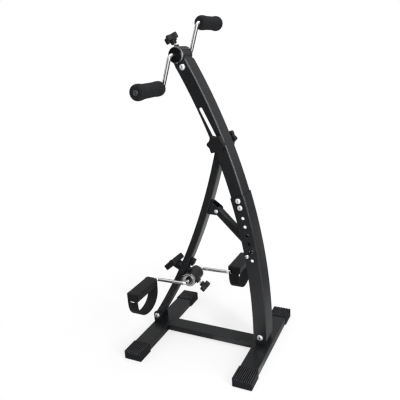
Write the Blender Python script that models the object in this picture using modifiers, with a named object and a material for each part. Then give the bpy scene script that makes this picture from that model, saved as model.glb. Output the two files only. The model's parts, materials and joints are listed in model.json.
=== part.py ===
# Dual exercise bike: a hand crank on a tilting mast and a pedal crank on a strut, over one steel base.
# The origin is the middle of the base on the floor, +X runs to the mast's foot, +Z up, in metres.
import math

import bmesh
import bpy
from mathutils import Matrix, Vector

# Clearances
GAP = 0.0003
RUN = 0.0005
BOLT_PLAY = 0.0004

# Base
FOOT_SPACING = 0.354
BASE_WIDTH = 0.405
CAP_WIDTH = 0.0585
CAP_HEIGHT = 0.029
CAP_LENGTH = 0.060
CAP_WALL = 0.0022
CAP_END = 0.004
CAP_RIB_PITCH = 0.009
CAP_RIB_GROOVE = 0.0022
CAP_RIB_DEPTH = 0.0009
TUBE_WALL = 0.0015
BEAM_WIDTH = 0.050
BEAM_HEIGHT = 0.020
BEAM_FLOOR = 0.0045
BRACKET_LENGTH = 0.030
BRACKET_PLATE = 0.0025

# Mast, an arc that is upright at its foot
MAST_RADIUS = 1.641
MAST_FOOT_FORWARD = 0.1740
MAST_FOOT_HEIGHT = 0.054
MAST_CENTRE_HEIGHT = 0.060
MAST_LENGTH = 0.8446
LOWER_WIDTH = 0.062
LOWER_DEPTH = 0.042
CHANNEL_WALL = 0.0020
LOWER_TOP = 0.446
UPPER_START = 0.388
LOWER_TAIL = 0.020
LOWER_TAIL_ROUND = 0.014
LOWER_WALL_START = -0.008
EDGE_ROUND = 0.003
PIN_HOLE_TOP = 0.382
PIN_HOLE_PITCH = 0.026
PIN_HOLES = 6
PIN_IN_HOLE = 5
PIN_HOLE_WIDTH = 0.0094
JOINT_BOLT_EDGE = 0.012
JOINT_BOLT_PITCH = 0.0205
TOP_BOLT_EDGE = 0.0136
JOINT_BOLT_HIGH = LOWER_TOP - JOINT_BOLT_EDGE
JOINT_BOLT_LOW = JOINT_BOLT_HIGH - JOINT_BOLT_PITCH
TOP_BOLT_UP = MAST_LENGTH - TOP_BOLT_EDGE

# Strut, an arc from its foot to the clamp bolt
STRUT_RADIUS = 1.874
STRUT_FOOT_FORWARD = -0.189
STRUT_FOOT_HEIGHT = 0.052
STRUT_WIDTH = 0.037
STRUT_DEPTH = 0.022
STRUT_TAIL = 0.012
STRUT_TAIL_ROUND = 0.006
STRUT_HEAD = 0.010
CLAMP_UP = 0.604
CLAMP_BOLT_WIDTH = 0.006
SLOT_WIDTH = 0.0088
SLOT_SPARE = 0.005
TILT_LIMIT = math.radians(11.0)
STRUT_RATIO = 1.44
BRACE_RATIO = 0.05

# Brace and pin
EAR_UP = 0.448
EAR_REACH = 0.0355
EAR_BASE = 0.040
EAR_NOSE = 0.0095
EAR_PLATE = 0.0025
BRACE_WIDTH = 0.024
BRACE_DEPTH = 0.018
BRACE_WALL = 0.0020
PIN_WIDTH = 0.008
PIN_NEAR = 0.060
PIN_FAR = 0.050
PIN_BALL = 0.0125

# Hubs and cranks
ROD_WIDTH = 0.011
HUB_WIDTH = 0.045
HUB_LENGTH = 0.056
HUB_BORE = 0.017
UPPER_HUB_RISE = 0.023
UPPER_ARM = 0.087
UPPER_ARM_OFFSET = 0.062
UPPER_BEND = 0.013
UPPER_ARM_ANGLE = math.radians(251.5)
UPPER_ROD_END = 0.2015
LOWER_HUB_UP = 0.2015
LOWER_HUB_REACH = 0.036
LOWER_ARM = 0.102
LOWER_ARM_OFFSET = 0.056
LOWER_BEND = 0.010
LOWER_ARM_ANGLE = math.radians(181.0)
RING_WIDTH = 0.044
RING_THICKNESS = 0.0022
UPPER_BUSH_WIDTH = 0.0405
LOWER_BUSH_WIDTH = 0.020
BUSH_FLANGE = 0.0035
BUSH_SLEEVE = 0.015
BOSS_WIDTH = 0.018
BOSS_TOP = 0.027
SCREW_WIDTH = 0.006
PAD_WIDTH = 0.009
PAD_LENGTH = 0.006
PAD_LIFT = 0.0010
LOWER_KNOB_ANGLE = math.radians(-36.9)
TENSION_KNOB_START = 0.043
TENSION_KNOB_THICKNESS = 0.016
TENSION_KNOB_WIDTH = 0.044
TENSION_COLLAR_START = 0.034
TENSION_COLLAR_WIDTH = 0.017
CLAMP_KNOB_WIDTH = 0.052
CLAMP_KNOB_THICKNESS = 0.016
CLAMP_COLLAR = 0.007

# Grips
GRIP_INNER = 0.0755
GRIP_OUTER = 0.2010
GRIP_INNER_BULB = 0.040
GRIP_OUTER_BULB = 0.043
GRIP_WAIST = 0.035

# Pedals
PEDAL_INNER = 0.0655
PEDAL_OUTER = 0.1765
PEDAL_LENGTH = 0.040
PEDAL_HEIGHT = 0.025
PEDAL_SIDE_OFFSET = 0.012
PEDAL_DROP_OFFSET = 0.004
PEDAL_ROD_END = 0.1720
PEDAL_GROOVE_PITCH = 0.016
PEDAL_GROOVE = 0.004
PEDAL_GROOVE_DEPTH = 0.0018
STRAP_WIDTH = 0.034
STRAP_THICKNESS = 0.003
STRAP_LOOP = 0.065
STRAP_LAP = 0.010
STRAP_ROOM = 0.003

# Counter
CASE_WIDTH = 0.062
CASE_HEIGHT = 0.044
CASE_DEPTH = 0.018
CASE_REACH = 0.040
CASE_ANGLE = math.radians(-39.7)
CASE_STEM_WIDTH = 0.026
CASE_STEM_DEPTH = 0.018
CASE_UP = 0.2085
WINDOW_WIDTH = 0.042
WINDOW_HEIGHT = 0.018
WINDOW_RECESS = 0.0016
BUTTON_WIDTH = 0.009
BUTTON_RISE = 0.0018
SENSOR_GAP = 0.0005
SENSOR_WIDTH = 0.020
SENSOR_DEPTH = 0.012
SENSOR_HEIGHT = 0.019
SENSOR_FLANGE = 0.0028

ALONG_Y = Matrix.Rotation(math.radians(90), 4, "X")
ACROSS_X = Matrix.Rotation(math.radians(90), 4, "Z") @ ALONG_Y

for old in list(bpy.data.objects):
    bpy.data.objects.remove(old, do_unlink=True)


def collection(name):
    made = bpy.data.collections.new(name)
    bpy.context.scene.collection.children.link(made)
    return made


BIKE = collection("dual_exercise_bike")
CUTTERS = collection("cutters")
CUTS = []
MATERIALS = {}
BLACK_STEEL = ("steel", (0.022, 0.023, 0.025), 0.38, 0.35)
BLACK_PLASTIC = ("plastic", (0.016, 0.016, 0.017), 0.50, 0.0)
RUBBER = ("rubber", (0.014, 0.014, 0.015), 0.75, 0.0)
FOAM = ("foam", (0.020, 0.020, 0.021), 0.95, 0.0)
CHROME = ("chrome", (0.72, 0.73, 0.75), 0.14, 1.0)
BRASS = ("brass", (0.60, 0.42, 0.16), 0.35, 1.0)
DISPLAY = ("display", (0.20, 0.23, 0.20), 0.15, 0.0)


def paint(obj, look):
    kind, colour, roughness, metallic = look
    made = bpy.data.materials.new(kind + "_" + obj.name)
    made.use_nodes = True
    shader = made.node_tree.nodes["Principled BSDF"]
    shader.inputs["Base Color"].default_value = (*colour, 1.0)
    shader.inputs["Roughness"].default_value = roughness
    shader.inputs["Metallic"].default_value = metallic
    made.diffuse_color = (*colour, 1.0)
    obj.data.materials.clear()
    obj.data.materials.append(made)
    return obj


def add(name, data, place=Matrix.Identity(4), cutter=False):
    obj = bpy.data.objects.new(name, data)
    (CUTTERS if cutter else BIKE).objects.link(obj)
    obj.matrix_world = place
    if cutter:
        obj.hide_render = True
        obj.display_type = "WIRE"
    return obj


def from_bmesh(name, bm, place=Matrix.Identity(4), cutter=False):
    mesh = bpy.data.meshes.new(name)
    bm.to_mesh(mesh)
    bm.free()
    return add(name, mesh, place, cutter)


def boxes(name, corners, place=Matrix.Identity(4), cutter=False):
    """One mesh of separate boxes, each from its low and its high corner."""
    bm = bmesh.new()
    for low, high in corners:
        low, high = Vector(low), Vector(high)
        size = high - low
        middle = Matrix.Translation((low + high) / 2)
        bmesh.ops.create_cube(bm, size=1.0, matrix=middle @ Matrix.Diagonal((*size, 1.0)))
    return from_bmesh(name, bm, place, cutter)


def holes(name, spots, half, cutter=True, steps=16):
    """Round bars along Y at (x, z, radius)."""
    bm = bmesh.new()
    for x, z, radius in spots:
        place = Matrix.Translation((x, 0.0, z)) @ ALONG_Y
        bmesh.ops.create_cone(
            bm, cap_ends=True, segments=steps, radius1=radius, radius2=radius, depth=2 * half, matrix=place
        )
    return from_bmesh(name, bm, Matrix.Identity(4), cutter)


def bar(name, radius, low, high, place, steps=24, cutter=True, sides_turn=0.0):
    """A round bar along the place's own Z."""
    bm = bmesh.new()
    middle = Matrix.Translation((0, 0, (low + high) / 2)) @ Matrix.Rotation(sides_turn, 4, "Z")
    bmesh.ops.create_cone(
        bm, cap_ends=True, segments=steps, radius1=radius, radius2=radius, depth=high - low, matrix=middle
    )
    return from_bmesh(name, bm, place, cutter)


def solid(curve):
    """The curve object's mesh with its caps welded, in place of the curve."""
    name, owner = curve.name, curve.users_collection[0]
    bpy.context.view_layer.update()
    place = curve.matrix_world.copy()
    mesh = bpy.data.meshes.new_from_object(curve.evaluated_get(bpy.context.evaluated_depsgraph_get()))
    data = curve.data
    bpy.data.objects.remove(curve, do_unlink=True)
    bpy.data.curves.remove(data)
    bm = bmesh.new()
    bm.from_mesh(mesh)
    bmesh.ops.remove_doubles(bm, verts=bm.verts, dist=0.00001)
    bmesh.ops.recalc_face_normals(bm, faces=bm.faces)
    bm.to_mesh(mesh)
    bm.free()
    mesh.name = name
    made = add(name, mesh, place, owner is CUTTERS)
    made.name = name
    return made


def outline(name, points, half, place=ALONG_Y, cutter=False):
    """A flat outline of the given half thickness; with the default place its points are (x, z)."""
    data = bpy.data.curves.new(name, "CURVE")
    data.dimensions = "2D"
    data.fill_mode = "BOTH"
    data.extrude = half
    spline = data.splines.new("POLY")
    spline.points.add(len(points) - 1)
    for point, spot in zip(spline.points, points):
        point.co = (spot[0], spot[1], 0.0, 1.0)
    spline.use_cyclic_u = True
    return solid(add(name, data, place, cutter))


def rod(name, path, width, sides=3):
    """A round rod along a smooth path of points."""
    data = bpy.data.curves.new(name, "CURVE")
    data.dimensions = "3D"
    data.bevel_depth = width / 2
    data.bevel_resolution = sides
    data.use_fill_caps = True
    spline = data.splines.new("POLY")
    spline.points.add(len(path) - 1)
    for point, spot in zip(spline.points, path):
        point.co = (*spot, 1.0)
    return solid(add(name, data))


def turned(name, profile, place, steps=24, cutter=False):
    """A profile of (radius, height) points from top to bottom, turned about the place's Z."""
    mesh = bpy.data.meshes.new(name)
    edges = [(i, i + 1) for i in range(len(profile) - 1)]
    if profile[0][0] > 0 and profile[-1][0] > 0:
        edges.append((len(profile) - 1, 0))
    mesh.from_pydata([(r, 0.0, h) for r, h in profile], edges, [])
    obj = add(name, mesh, place, cutter)
    screw = obj.modifiers.new("Turn", "SCREW")
    screw.axis = "Z"
    screw.steps = steps
    screw.render_steps = steps
    screw.use_merge_vertices = True
    screw.merge_threshold = 0.00005
    screw.use_smooth_shade = True
    return obj


def boolean(obj, other, kind):
    step = obj.modifiers.new(kind.title(), "BOOLEAN")
    step.operation = kind
    step.solver = "EXACT"
    step.object = other
    CUTS.append((obj, other))
    return obj


def cut(obj, other):
    return boolean(obj, other, "DIFFERENCE")


def join(obj, other):
    return boolean(obj, other, "UNION")


def bevel(obj, width, segments=2, angle=40.0):
    step = obj.modifiers.new("Bevel", "BEVEL")
    step.width = width
    step.segments = segments
    step.limit_method = "ANGLE"
    step.angle_limit = math.radians(angle)
    return obj


def smooth(obj, angle=35.0):
    for face in obj.data.polygons:
        face.use_smooth = True
    obj.data.set_sharp_from_angle(angle=math.radians(angle))
    return obj


def at(x, y, z, turn=None):
    place = Matrix.Translation((x, y, z))
    return place if turn is None else place @ turn


def facing(direction):
    """A turn that takes Z to a direction in the XZ plane given by its angle from +X."""
    return Matrix.Rotation(math.radians(90) - direction, 4, "Y")


def rebase(obj, pivot):
    """Moves the origin to a pivot and leaves the shape where it is."""
    bpy.context.view_layer.update()
    shift = obj.matrix_world.inverted() @ Vector(pivot)
    obj.data.transform(Matrix.Translation(-shift))
    obj.matrix_world = obj.matrix_world @ Matrix.Translation(shift)
    return obj


def rounded(corners, steps=4):
    """A closed outline through (x, z, radius) corners, each rounded with an arc."""
    points = []
    count = len(corners)
    for i, (x, z, radius) in enumerate(corners):
        here = Vector((x, z))
        back = (Vector(corners[i - 1][:2]) - here).normalized()
        ahead = (Vector(corners[(i + 1) % count][:2]) - here).normalized()
        half = back.angle(ahead) / 2
        if radius <= 0 or half > math.radians(89):
            points.append((x, z))
            continue
        middle = here + (back + ahead).normalized() * (radius / math.sin(half))
        first = here + back * (radius / math.tan(half)) - middle
        last = here + ahead * (radius / math.tan(half)) - middle
        sweep = first.angle_signed(last)
        for k in range(steps + 1):
            turn = Matrix.Rotation(-sweep * k / steps, 2)
            spot = middle + turn @ first
            points.append((spot.x, spot.y))
    return points


def swing(spot, pivot, angle):
    c, s = math.cos(angle), math.sin(angle)
    x, z = spot[0] - pivot[0], spot[1] - pivot[1]
    return (pivot[0] + c * x - s * z, pivot[1] + s * x + c * z)


def arc_centre(first, last, radius):
    """The centre of an arc through two points, on the left of the way between them."""
    first, last = Vector(first), Vector(last)
    way = last - first
    normal = Vector((-way.y, way.x)).normalized()
    return (first + last) / 2 + normal * math.sqrt(radius * radius - way.length_squared / 4)


# Lines that the frame follows
MAST_FOOT = (MAST_FOOT_FORWARD, MAST_FOOT_HEIGHT)
STRUT_FOOT = (STRUT_FOOT_FORWARD, STRUT_FOOT_HEIGHT)
MAST_CENTRE = Vector((MAST_FOOT[0] - MAST_RADIUS, MAST_CENTRE_HEIGHT))


def mast_angle(up):
    return (up - (MAST_CENTRE_HEIGHT - MAST_FOOT_HEIGHT)) / MAST_RADIUS


def on_mast(up, out=0.0):
    a = mast_angle(up)
    r = MAST_RADIUS + out
    return (MAST_CENTRE.x + r * math.cos(a), MAST_CENTRE.y + r * math.sin(a))


CLAMP = on_mast(CLAMP_UP)
STRUT_CENTRE = arc_centre(STRUT_FOOT, CLAMP, STRUT_RADIUS)
STRUT_START = math.atan2(STRUT_FOOT[1] - STRUT_CENTRE.y, STRUT_FOOT[0] - STRUT_CENTRE.x)
STRUT_END = math.atan2(CLAMP[1] - STRUT_CENTRE.y, CLAMP[0] - STRUT_CENTRE.x)
STRUT_LENGTH = (STRUT_END - STRUT_START) * STRUT_RADIUS


def strut_angle(up):
    return STRUT_START + up / STRUT_RADIUS


def on_strut(up, out=0.0):
    a = strut_angle(up)
    r = STRUT_RADIUS + out
    return (STRUT_CENTRE.x + r * math.cos(a), STRUT_CENTRE.y + r * math.sin(a))


def band(centre, inner, outer, start, end, steps):
    """An outline between two arcs about one centre."""
    angles = [start + (end - start) * i / steps for i in range(steps + 1)]
    front = [(centre.x + outer * math.cos(a), centre.y + outer * math.sin(a)) for a in angles]
    back = [(centre.x + inner * math.cos(a), centre.y + inner * math.sin(a)) for a in reversed(angles)]
    return front + back


def round_edges(obj, pick, width, segments=2):
    """Rounds the edges whose middles, in world coordinates, pick keeps."""
    bpy.context.view_layer.update()
    bm = bmesh.new()
    bm.from_mesh(obj.data)
    world = obj.matrix_world
    chosen = [e for e in bm.edges if pick(world @ e.verts[0].co, world @ e.verts[1].co)]
    bmesh.ops.bevel(
        bm, geom=chosen, offset=width, offset_type="OFFSET", segments=segments, profile=0.5, affect="EDGES"
    )
    bm.to_mesh(obj.data)
    bm.free()
    return obj


def long_edges(centre, radii, half):
    """Keeps edges that run along an arc of one of the radii at the sides' half width."""
    def pick(a, b):
        if abs(abs(a.y) - half) > 1e-5 or abs(a.y - b.y) > 1e-5:
            return False
        far = [math.hypot(v.x - centre.x, v.z - centre.y) for v in (a, b)]
        return any(abs(far[0] - r) < 1e-4 and abs(far[1] - r) < 1e-4 for r in radii)
    return pick


# Base
CAP_INSIDE = CAP_WALL + GAP
TUBE_WIDTH = CAP_WIDTH - 2 * CAP_INSIDE
TUBE_BOTTOM = CAP_INSIDE
TUBE_TOP = CAP_HEIGHT - CAP_INSIDE
TUBE_HALF = BASE_WIDTH / 2 - CAP_END - GAP


def foot_tube(name, x):
    half = TUBE_WIDTH / 2
    tall = TUBE_TOP - TUBE_BOTTOM
    tube = boxes(name, [((-half, -TUBE_HALF, 0), (half, TUBE_HALF, tall))], at(x, 0, TUBE_BOTTOM))
    bevel(tube, EDGE_ROUND / 2)
    inner = half - TUBE_WALL
    spare = 0.01
    top = TUBE_TOP - TUBE_BOTTOM - TUBE_WALL
    low, high = (-inner, -TUBE_HALF - spare, TUBE_WALL), (inner, TUBE_HALF + spare, top)
    cut(tube, boxes(name + "_inside", [(low, high)], at(x, 0, TUBE_BOTTOM), True))
    return paint(tube, BLACK_STEEL)


def end_cap(name, x, side):
    """A cap over one end of a stabilizer, ribbed along its top."""
    half = CAP_WIDTH / 2
    place = at(x, side * (BASE_WIDTH / 2 - CAP_LENGTH), 0)
    if side < 0:
        place = place @ Matrix.Rotation(math.pi, 4, "Z")
    cap = boxes(name, [((-half, 0, 0), (half, CAP_LENGTH, CAP_HEIGHT))], place)
    bevel(cap, 0.0018)
    hollow = TUBE_WIDTH / 2 + GAP
    low, high = (-hollow, -0.01, CAP_WALL), (hollow, CAP_LENGTH - CAP_END, CAP_HEIGHT - CAP_WALL)
    cut(cap, boxes(name + "_inside", [(low, high)], place, True))
    ribs = []
    count = int((CAP_WIDTH - 0.008) / CAP_RIB_PITCH / 2) * 2
    for i in range(count):
        middle = (i - (count - 1) / 2) * CAP_RIB_PITCH
        near, far = middle - CAP_RIB_GROOVE / 2, middle + CAP_RIB_GROOVE / 2
        ribs.append(((near, 0.004, CAP_HEIGHT - CAP_RIB_DEPTH), (far, CAP_LENGTH - 0.004, CAP_HEIGHT + 0.01)))
    cut(cap, boxes(name + "_grooves", ribs, place, True))
    return paint(cap, RUBBER)


REAR, FRONT = -FOOT_SPACING / 2, FOOT_SPACING / 2
foot_tube_rear = foot_tube("foot_tube_rear", REAR)
foot_tube_front = foot_tube("foot_tube_front", FRONT)
end_cap("end_cap_rear_near", REAR, -1)
end_cap("end_cap_rear_far", REAR, 1)
end_cap("end_cap_front_near", FRONT, -1)
end_cap("end_cap_front_far", FRONT, 1)

BEAM_HALF = FOOT_SPACING / 2 - TUBE_WIDTH / 2 - GAP
beam_side = BEAM_WIDTH / 2
base_beam = boxes(
    "base_beam", [((-BEAM_HALF, -beam_side, 0), (BEAM_HALF, beam_side, BEAM_HEIGHT))], at(0, 0, BEAM_FLOOR)
)
round_edges(base_beam, lambda a, b: abs(a.x - b.x) > BEAM_HALF, EDGE_ROUND)
beam_hollow = (
    (-BEAM_HALF - 0.01, -beam_side + TUBE_WALL, TUBE_WALL),
    (BEAM_HALF + 0.01, beam_side - TUBE_WALL, BEAM_HEIGHT - TUBE_WALL),
)
cut(base_beam, boxes("base_beam_inside", [beam_hollow], at(0, 0, BEAM_FLOOR), True))
paint(base_beam, BLACK_STEEL)

FOOT_BOLT = 0.008
HOLE = FOOT_BOLT / 2 + BOLT_PLAY


def foot_bracket(name, pivot, inside):
    """Two upright plates on a stabilizer, joined by a floor plate, with a hole for the foot's bolt."""
    half = BRACKET_LENGTH / 2
    base = TUBE_TOP + GAP
    top = pivot[1] + half
    shape = rounded([
        (pivot[0] - half, base, 0), (pivot[0] + half, base, 0), (pivot[0] + half, top, half * 0.98),
        (pivot[0] - half, top, half * 0.98),
    ], 6)
    plates = outline(name, shape, inside + BRACKET_PLATE)
    rebase(plates, (pivot[0], 0, base))
    low = (pivot[0] - half - 0.01, -inside, base + BRACKET_PLATE)
    high = (pivot[0] + half + 0.01, inside, top + 0.01)
    cut(plates, boxes(name + "_inside", [(low, high)], cutter=True))
    cut(plates, holes(name + "_hole", [(pivot[0], pivot[1], HOLE)], inside + 0.02))
    return paint(plates, BLACK_STEEL)


LOWER_INSIDE = LOWER_WIDTH / 2 - CHANNEL_WALL
STRUT_SIDE = STRUT_WIDTH / 2
STRUT_BRACKET_INSIDE = STRUT_SIDE + 0.0004
mast_foot_bracket = foot_bracket("mast_foot_bracket", MAST_FOOT, LOWER_INSIDE - GAP - BRACKET_PLATE)
strut_foot_bracket = foot_bracket("strut_foot_bracket", STRUT_FOOT, STRUT_BRACKET_INSIDE)


def dome(radius, height, steps=3):
    """Points of a shallow dome from its top down to its rim."""
    points = [(0.0, height)]
    rim = height * 0.28
    for i in range(1, steps + 1):
        a = math.radians(90 * i / steps)
        points.append((radius * math.sin(a), rim + (height - rim) * math.cos(a)))
    points.append((radius, 0.0))
    return points


def bolt(name, spot, seat, width, head, head_height, nut=True, socket=True, sides=16):
    """A domed bolt through the part along Y, head on the near side, with its nut on the far side."""
    place = at(spot[0], -seat, spot[1], ALONG_Y)
    nut_height = width * 0.8
    length = 2 * seat + (nut_height + 0.002 if nut else 0.0)
    profile = dome(head / 2, head_height) + [(width / 2, 0.0), (width / 2, -length), (0.0, -length)]
    made = turned(name, profile, place, sides)
    if nut:
        hexagon = bar(name + "_nut", width * 0.93, -2 * seat - nut_height, -2 * seat, place, 6)
        join(made, hexagon)
    if socket:
        deep = head_height * 0.45
        cut(made, bar(name + "_socket", width * 0.36, head_height - deep, head_height + 0.01, place, 6))
    return paint(made, CHROME)


# Mast
MAST_STEPS = 14
lower_out, lower_in = MAST_RADIUS + LOWER_DEPTH / 2, MAST_RADIUS - LOWER_DEPTH / 2
tail, top = mast_angle(-LOWER_TAIL), mast_angle(LOWER_TOP)
lower_side = band(MAST_CENTRE, lower_in, lower_out, tail, top, MAST_STEPS)
mast_lower = outline("mast_lower", lower_side, LOWER_WIDTH / 2)
rebase(mast_lower, (MAST_FOOT[0], 0, MAST_FOOT[1]))
tail_height = on_mast(-LOWER_TAIL)[1]
round_edges(
    mast_lower,
    lambda a, b: abs(a.y - b.y) > LOWER_WIDTH / 2 and max(a.z, b.z) < tail_height + 0.001,
    LOWER_TAIL_ROUND,
    3,
)
round_edges(mast_lower, long_edges(MAST_CENTRE, [lower_out], LOWER_WIDTH / 2), EDGE_ROUND)
lower_hollow = band(
    MAST_CENTRE, lower_in - 0.01, lower_out - CHANNEL_WALL, mast_angle(-LOWER_TAIL - 0.05),
    mast_angle(LOWER_TOP + 0.02), MAST_STEPS,
)
cut(mast_lower, outline("mast_lower_inside", lower_hollow, LOWER_INSIDE, cutter=True))
wall_start = on_mast(LOWER_WALL_START)[1]
front_low = (MAST_FOOT[0] + LOWER_DEPTH / 2 - CHANNEL_WALL * 3, -LOWER_INSIDE, 0.0)
front_high = (MAST_FOOT[0] + LOWER_DEPTH / 2 + 0.01, LOWER_INSIDE, wall_start)
cut(mast_lower, boxes("mast_lower_toe", [(front_low, front_high)], cutter=True))
PIN_ROW = [on_mast(PIN_HOLE_TOP - PIN_HOLE_PITCH * i) for i in range(PIN_HOLES)]
PIN = PIN_ROW[PIN_IN_HOLE - 1]
JOINTS = [on_mast(JOINT_BOLT_LOW), on_mast(JOINT_BOLT_HIGH)]
lower_holes = [(x, z, PIN_HOLE_WIDTH / 2) for x, z in PIN_ROW]
lower_holes += [(x, z, HOLE) for x, z in JOINTS + [MAST_FOOT]]
cut(mast_lower, holes("mast_lower_holes", lower_holes, LOWER_WIDTH))
paint(mast_lower, BLACK_STEEL)

UPPER_SIDE = LOWER_INSIDE - GAP
UPPER_INSIDE = UPPER_SIDE - CHANNEL_WALL
upper_out = lower_out - CHANNEL_WALL - GAP
upper_in = MAST_RADIUS - (upper_out - MAST_RADIUS)
start, end = mast_angle(UPPER_START), mast_angle(MAST_LENGTH)
mast_upper = outline("mast_upper", band(MAST_CENTRE, upper_in, upper_out, start, end, MAST_STEPS), UPPER_SIDE)
rebase(mast_upper, (MAST_FOOT[0], 0, MAST_FOOT[1]))
round_edges(mast_upper, long_edges(MAST_CENTRE, [upper_out], UPPER_SIDE), EDGE_ROUND)
upper_hollow = band(
    MAST_CENTRE, upper_in - 0.01, upper_out - CHANNEL_WALL, mast_angle(UPPER_START - 0.02),
    mast_angle(MAST_LENGTH + 0.02), MAST_STEPS,
)
cut(mast_upper, outline("mast_upper_inside", upper_hollow, UPPER_INSIDE, cutter=True))
TOP_BOLT = on_mast(TOP_BOLT_UP)
upper_holes = [(x, z, HOLE) for x, z in JOINTS + [TOP_BOLT]]
cut(mast_upper, holes("mast_upper_holes", upper_holes, LOWER_WIDTH))

# The slot follows the clamp bolt's way through the mast while both tilt
slot_way = []
for i in range(9):
    tilt = TILT_LIMIT * i / 8
    spot = swing(CLAMP, STRUT_FOOT, tilt * STRUT_RATIO)
    slot_way.append(Vector(swing(spot, MAST_FOOT, -tilt)))
slot_line = (slot_way[-1] - slot_way[0]).normalized()
slot_side = Vector((-slot_line.y, slot_line.x))
sag = sum((p - slot_way[0]).dot(slot_side) for p in slot_way) / len(slot_way)
LOWER_SLOT_SPARE = 0.016
slot_low = slot_way[0] - slot_line * LOWER_SLOT_SPARE + slot_side * sag
slot_high = slot_way[-1] + slot_line * SLOT_SPARE + slot_side * sag


def capsule(first, last, radius, steps=8):
    """A long hole's outline between two centres."""
    heading = math.atan2(last[1] - first[1], last[0] - first[0])
    points = []
    for centre, begin in ((last, heading - math.pi / 2), (first, heading + math.pi / 2)):
        for i in range(steps + 1):
            a = begin + math.pi * i / steps
            points.append((centre[0] + radius * math.cos(a), centre[1] + radius * math.sin(a)))
    return points


cut(mast_upper, outline("mast_slot", capsule(slot_low, slot_high, SLOT_WIDTH / 2), LOWER_WIDTH, cutter=True))
paint(mast_upper, BLACK_STEEL)

bolt("mast_foot_bolt", MAST_FOOT, LOWER_WIDTH / 2 + GAP, FOOT_BOLT, 0.0195, 0.0065)
bolt("joint_bolt_low", JOINTS[0], LOWER_WIDTH / 2 + GAP, FOOT_BOLT, 0.016, 0.0055)
bolt("joint_bolt_high", JOINTS[1], LOWER_WIDTH / 2 + GAP, FOOT_BOLT, 0.016, 0.0055)
bolt("top_bolt", TOP_BOLT, UPPER_SIDE + GAP, FOOT_BOLT, 0.017, 0.0055)

# Strut
STRUT_STEPS = 14
strut_out, strut_in = STRUT_RADIUS + STRUT_DEPTH / 2, STRUT_RADIUS - STRUT_DEPTH / 2
first, last = strut_angle(-STRUT_TAIL), strut_angle(STRUT_LENGTH + STRUT_HEAD)
strut = outline("strut", band(STRUT_CENTRE, strut_in, strut_out, first, last, STRUT_STEPS), STRUT_SIDE)
rebase(strut, (STRUT_FOOT[0], 0, STRUT_FOOT[1]))
strut_tail_height = on_strut(-STRUT_TAIL, -STRUT_DEPTH / 2)[1]
round_edges(
    strut,
    lambda a, b: abs(a.y - b.y) > STRUT_SIDE and max(a.z, b.z) < strut_tail_height + 0.001,
    STRUT_TAIL_ROUND,
    3,
)
round_edges(strut, long_edges(STRUT_CENTRE, [strut_in, strut_out], STRUT_SIDE), EDGE_ROUND)
strut_hollow = band(
    STRUT_CENTRE, strut_in + TUBE_WALL, strut_out - TUBE_WALL, strut_angle(-STRUT_TAIL - 0.02),
    strut_angle(STRUT_LENGTH + STRUT_HEAD + 0.02), STRUT_STEPS,
)
cut(strut, outline("strut_inside", strut_hollow, STRUT_SIDE - TUBE_WALL, cutter=True))
strut_holes = [(STRUT_FOOT[0], STRUT_FOOT[1], HOLE), (CLAMP[0], CLAMP[1], CLAMP_BOLT_WIDTH / 2 + BOLT_PLAY)]
cut(strut, holes("strut_holes", strut_holes, STRUT_WIDTH))
paint(strut, BLACK_STEEL)
STRUT_BRACKET_OUTSIDE = STRUT_BRACKET_INSIDE + BRACKET_PLATE
WASHER = 0.0016
washer_place = at(STRUT_FOOT[0], -STRUT_BRACKET_OUTSIDE - GAP, STRUT_FOOT[1], ALONG_Y)
washer_rim = 0.012
washer_hole = FOOT_BOLT / 2 + GAP
paint(turned("strut_foot_washer", [
    (washer_hole, WASHER), (washer_rim - 0.0004, WASHER), (washer_rim, WASHER - 0.0004), (washer_rim, 0.0),
    (washer_hole, 0.0),
], washer_place), BLACK_PLASTIC)
bolt("strut_foot_bolt", STRUT_FOOT, STRUT_BRACKET_OUTSIDE + 2 * GAP + WASHER, FOOT_BOLT, 0.0175, 0.006)

# Ears on the strut's front and the brace that hangs from them
EAR = on_strut(EAR_UP, EAR_REACH)
ear_turn = strut_angle(EAR_UP)
EAR_SEAT = STRUT_DEPTH / 2 + GAP + EAR_BASE * EAR_BASE / 8 / STRUT_RADIUS


def beside_strut(up, out, rise):
    """A point that stands out from the strut's centre line at up, and rises along its tangent."""
    a = strut_angle(up)
    base = on_strut(up, out)
    return (base[0] - rise * math.sin(a), base[1] + rise * math.cos(a))


BRACE_SIDE = BRACE_WIDTH / 2
EAR_INSIDE = BRACE_SIDE + GAP
ear_tip = EAR_REACH + EAR_NOSE
ear_shape = rounded([
    (*beside_strut(EAR_UP, EAR_SEAT, -EAR_BASE / 2), 0.001),
    (*beside_strut(EAR_UP, ear_tip, -EAR_NOSE), EAR_NOSE * 0.98),
    (*beside_strut(EAR_UP, ear_tip, EAR_NOSE), EAR_NOSE * 0.98),
    (*beside_strut(EAR_UP, EAR_SEAT, EAR_BASE / 2), 0.001),
], 6)
strut_ears = outline("strut_ears", ear_shape, EAR_INSIDE + EAR_PLATE)
rebase(strut_ears, (EAR[0], 0, EAR[1]))
ear_hollow = [
    beside_strut(EAR_UP, EAR_SEAT + EAR_PLATE, -EAR_BASE), beside_strut(EAR_UP, ear_tip + 0.01, -EAR_BASE),
    beside_strut(EAR_UP, ear_tip + 0.01, EAR_BASE), beside_strut(EAR_UP, EAR_SEAT + EAR_PLATE, EAR_BASE),
]
cut(strut_ears, outline("strut_ears_inside", ear_hollow, EAR_INSIDE, cutter=True))
EAR_BOLT = 0.006
EAR_HOLE = EAR_BOLT / 2 + BOLT_PLAY
cut(strut_ears, holes("strut_ears_hole", [(EAR[0], EAR[1], EAR_HOLE)], STRUT_WIDTH))
paint(strut_ears, BLACK_STEEL)
bolt("brace_bolt", EAR, EAR_INSIDE + EAR_PLATE + GAP, EAR_BOLT, 0.012, 0.0045)

brace_way = Vector(PIN) - Vector(EAR)
brace_heading = math.atan2(brace_way.y, brace_way.x)
BRACE_LENGTH = brace_way.length


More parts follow.
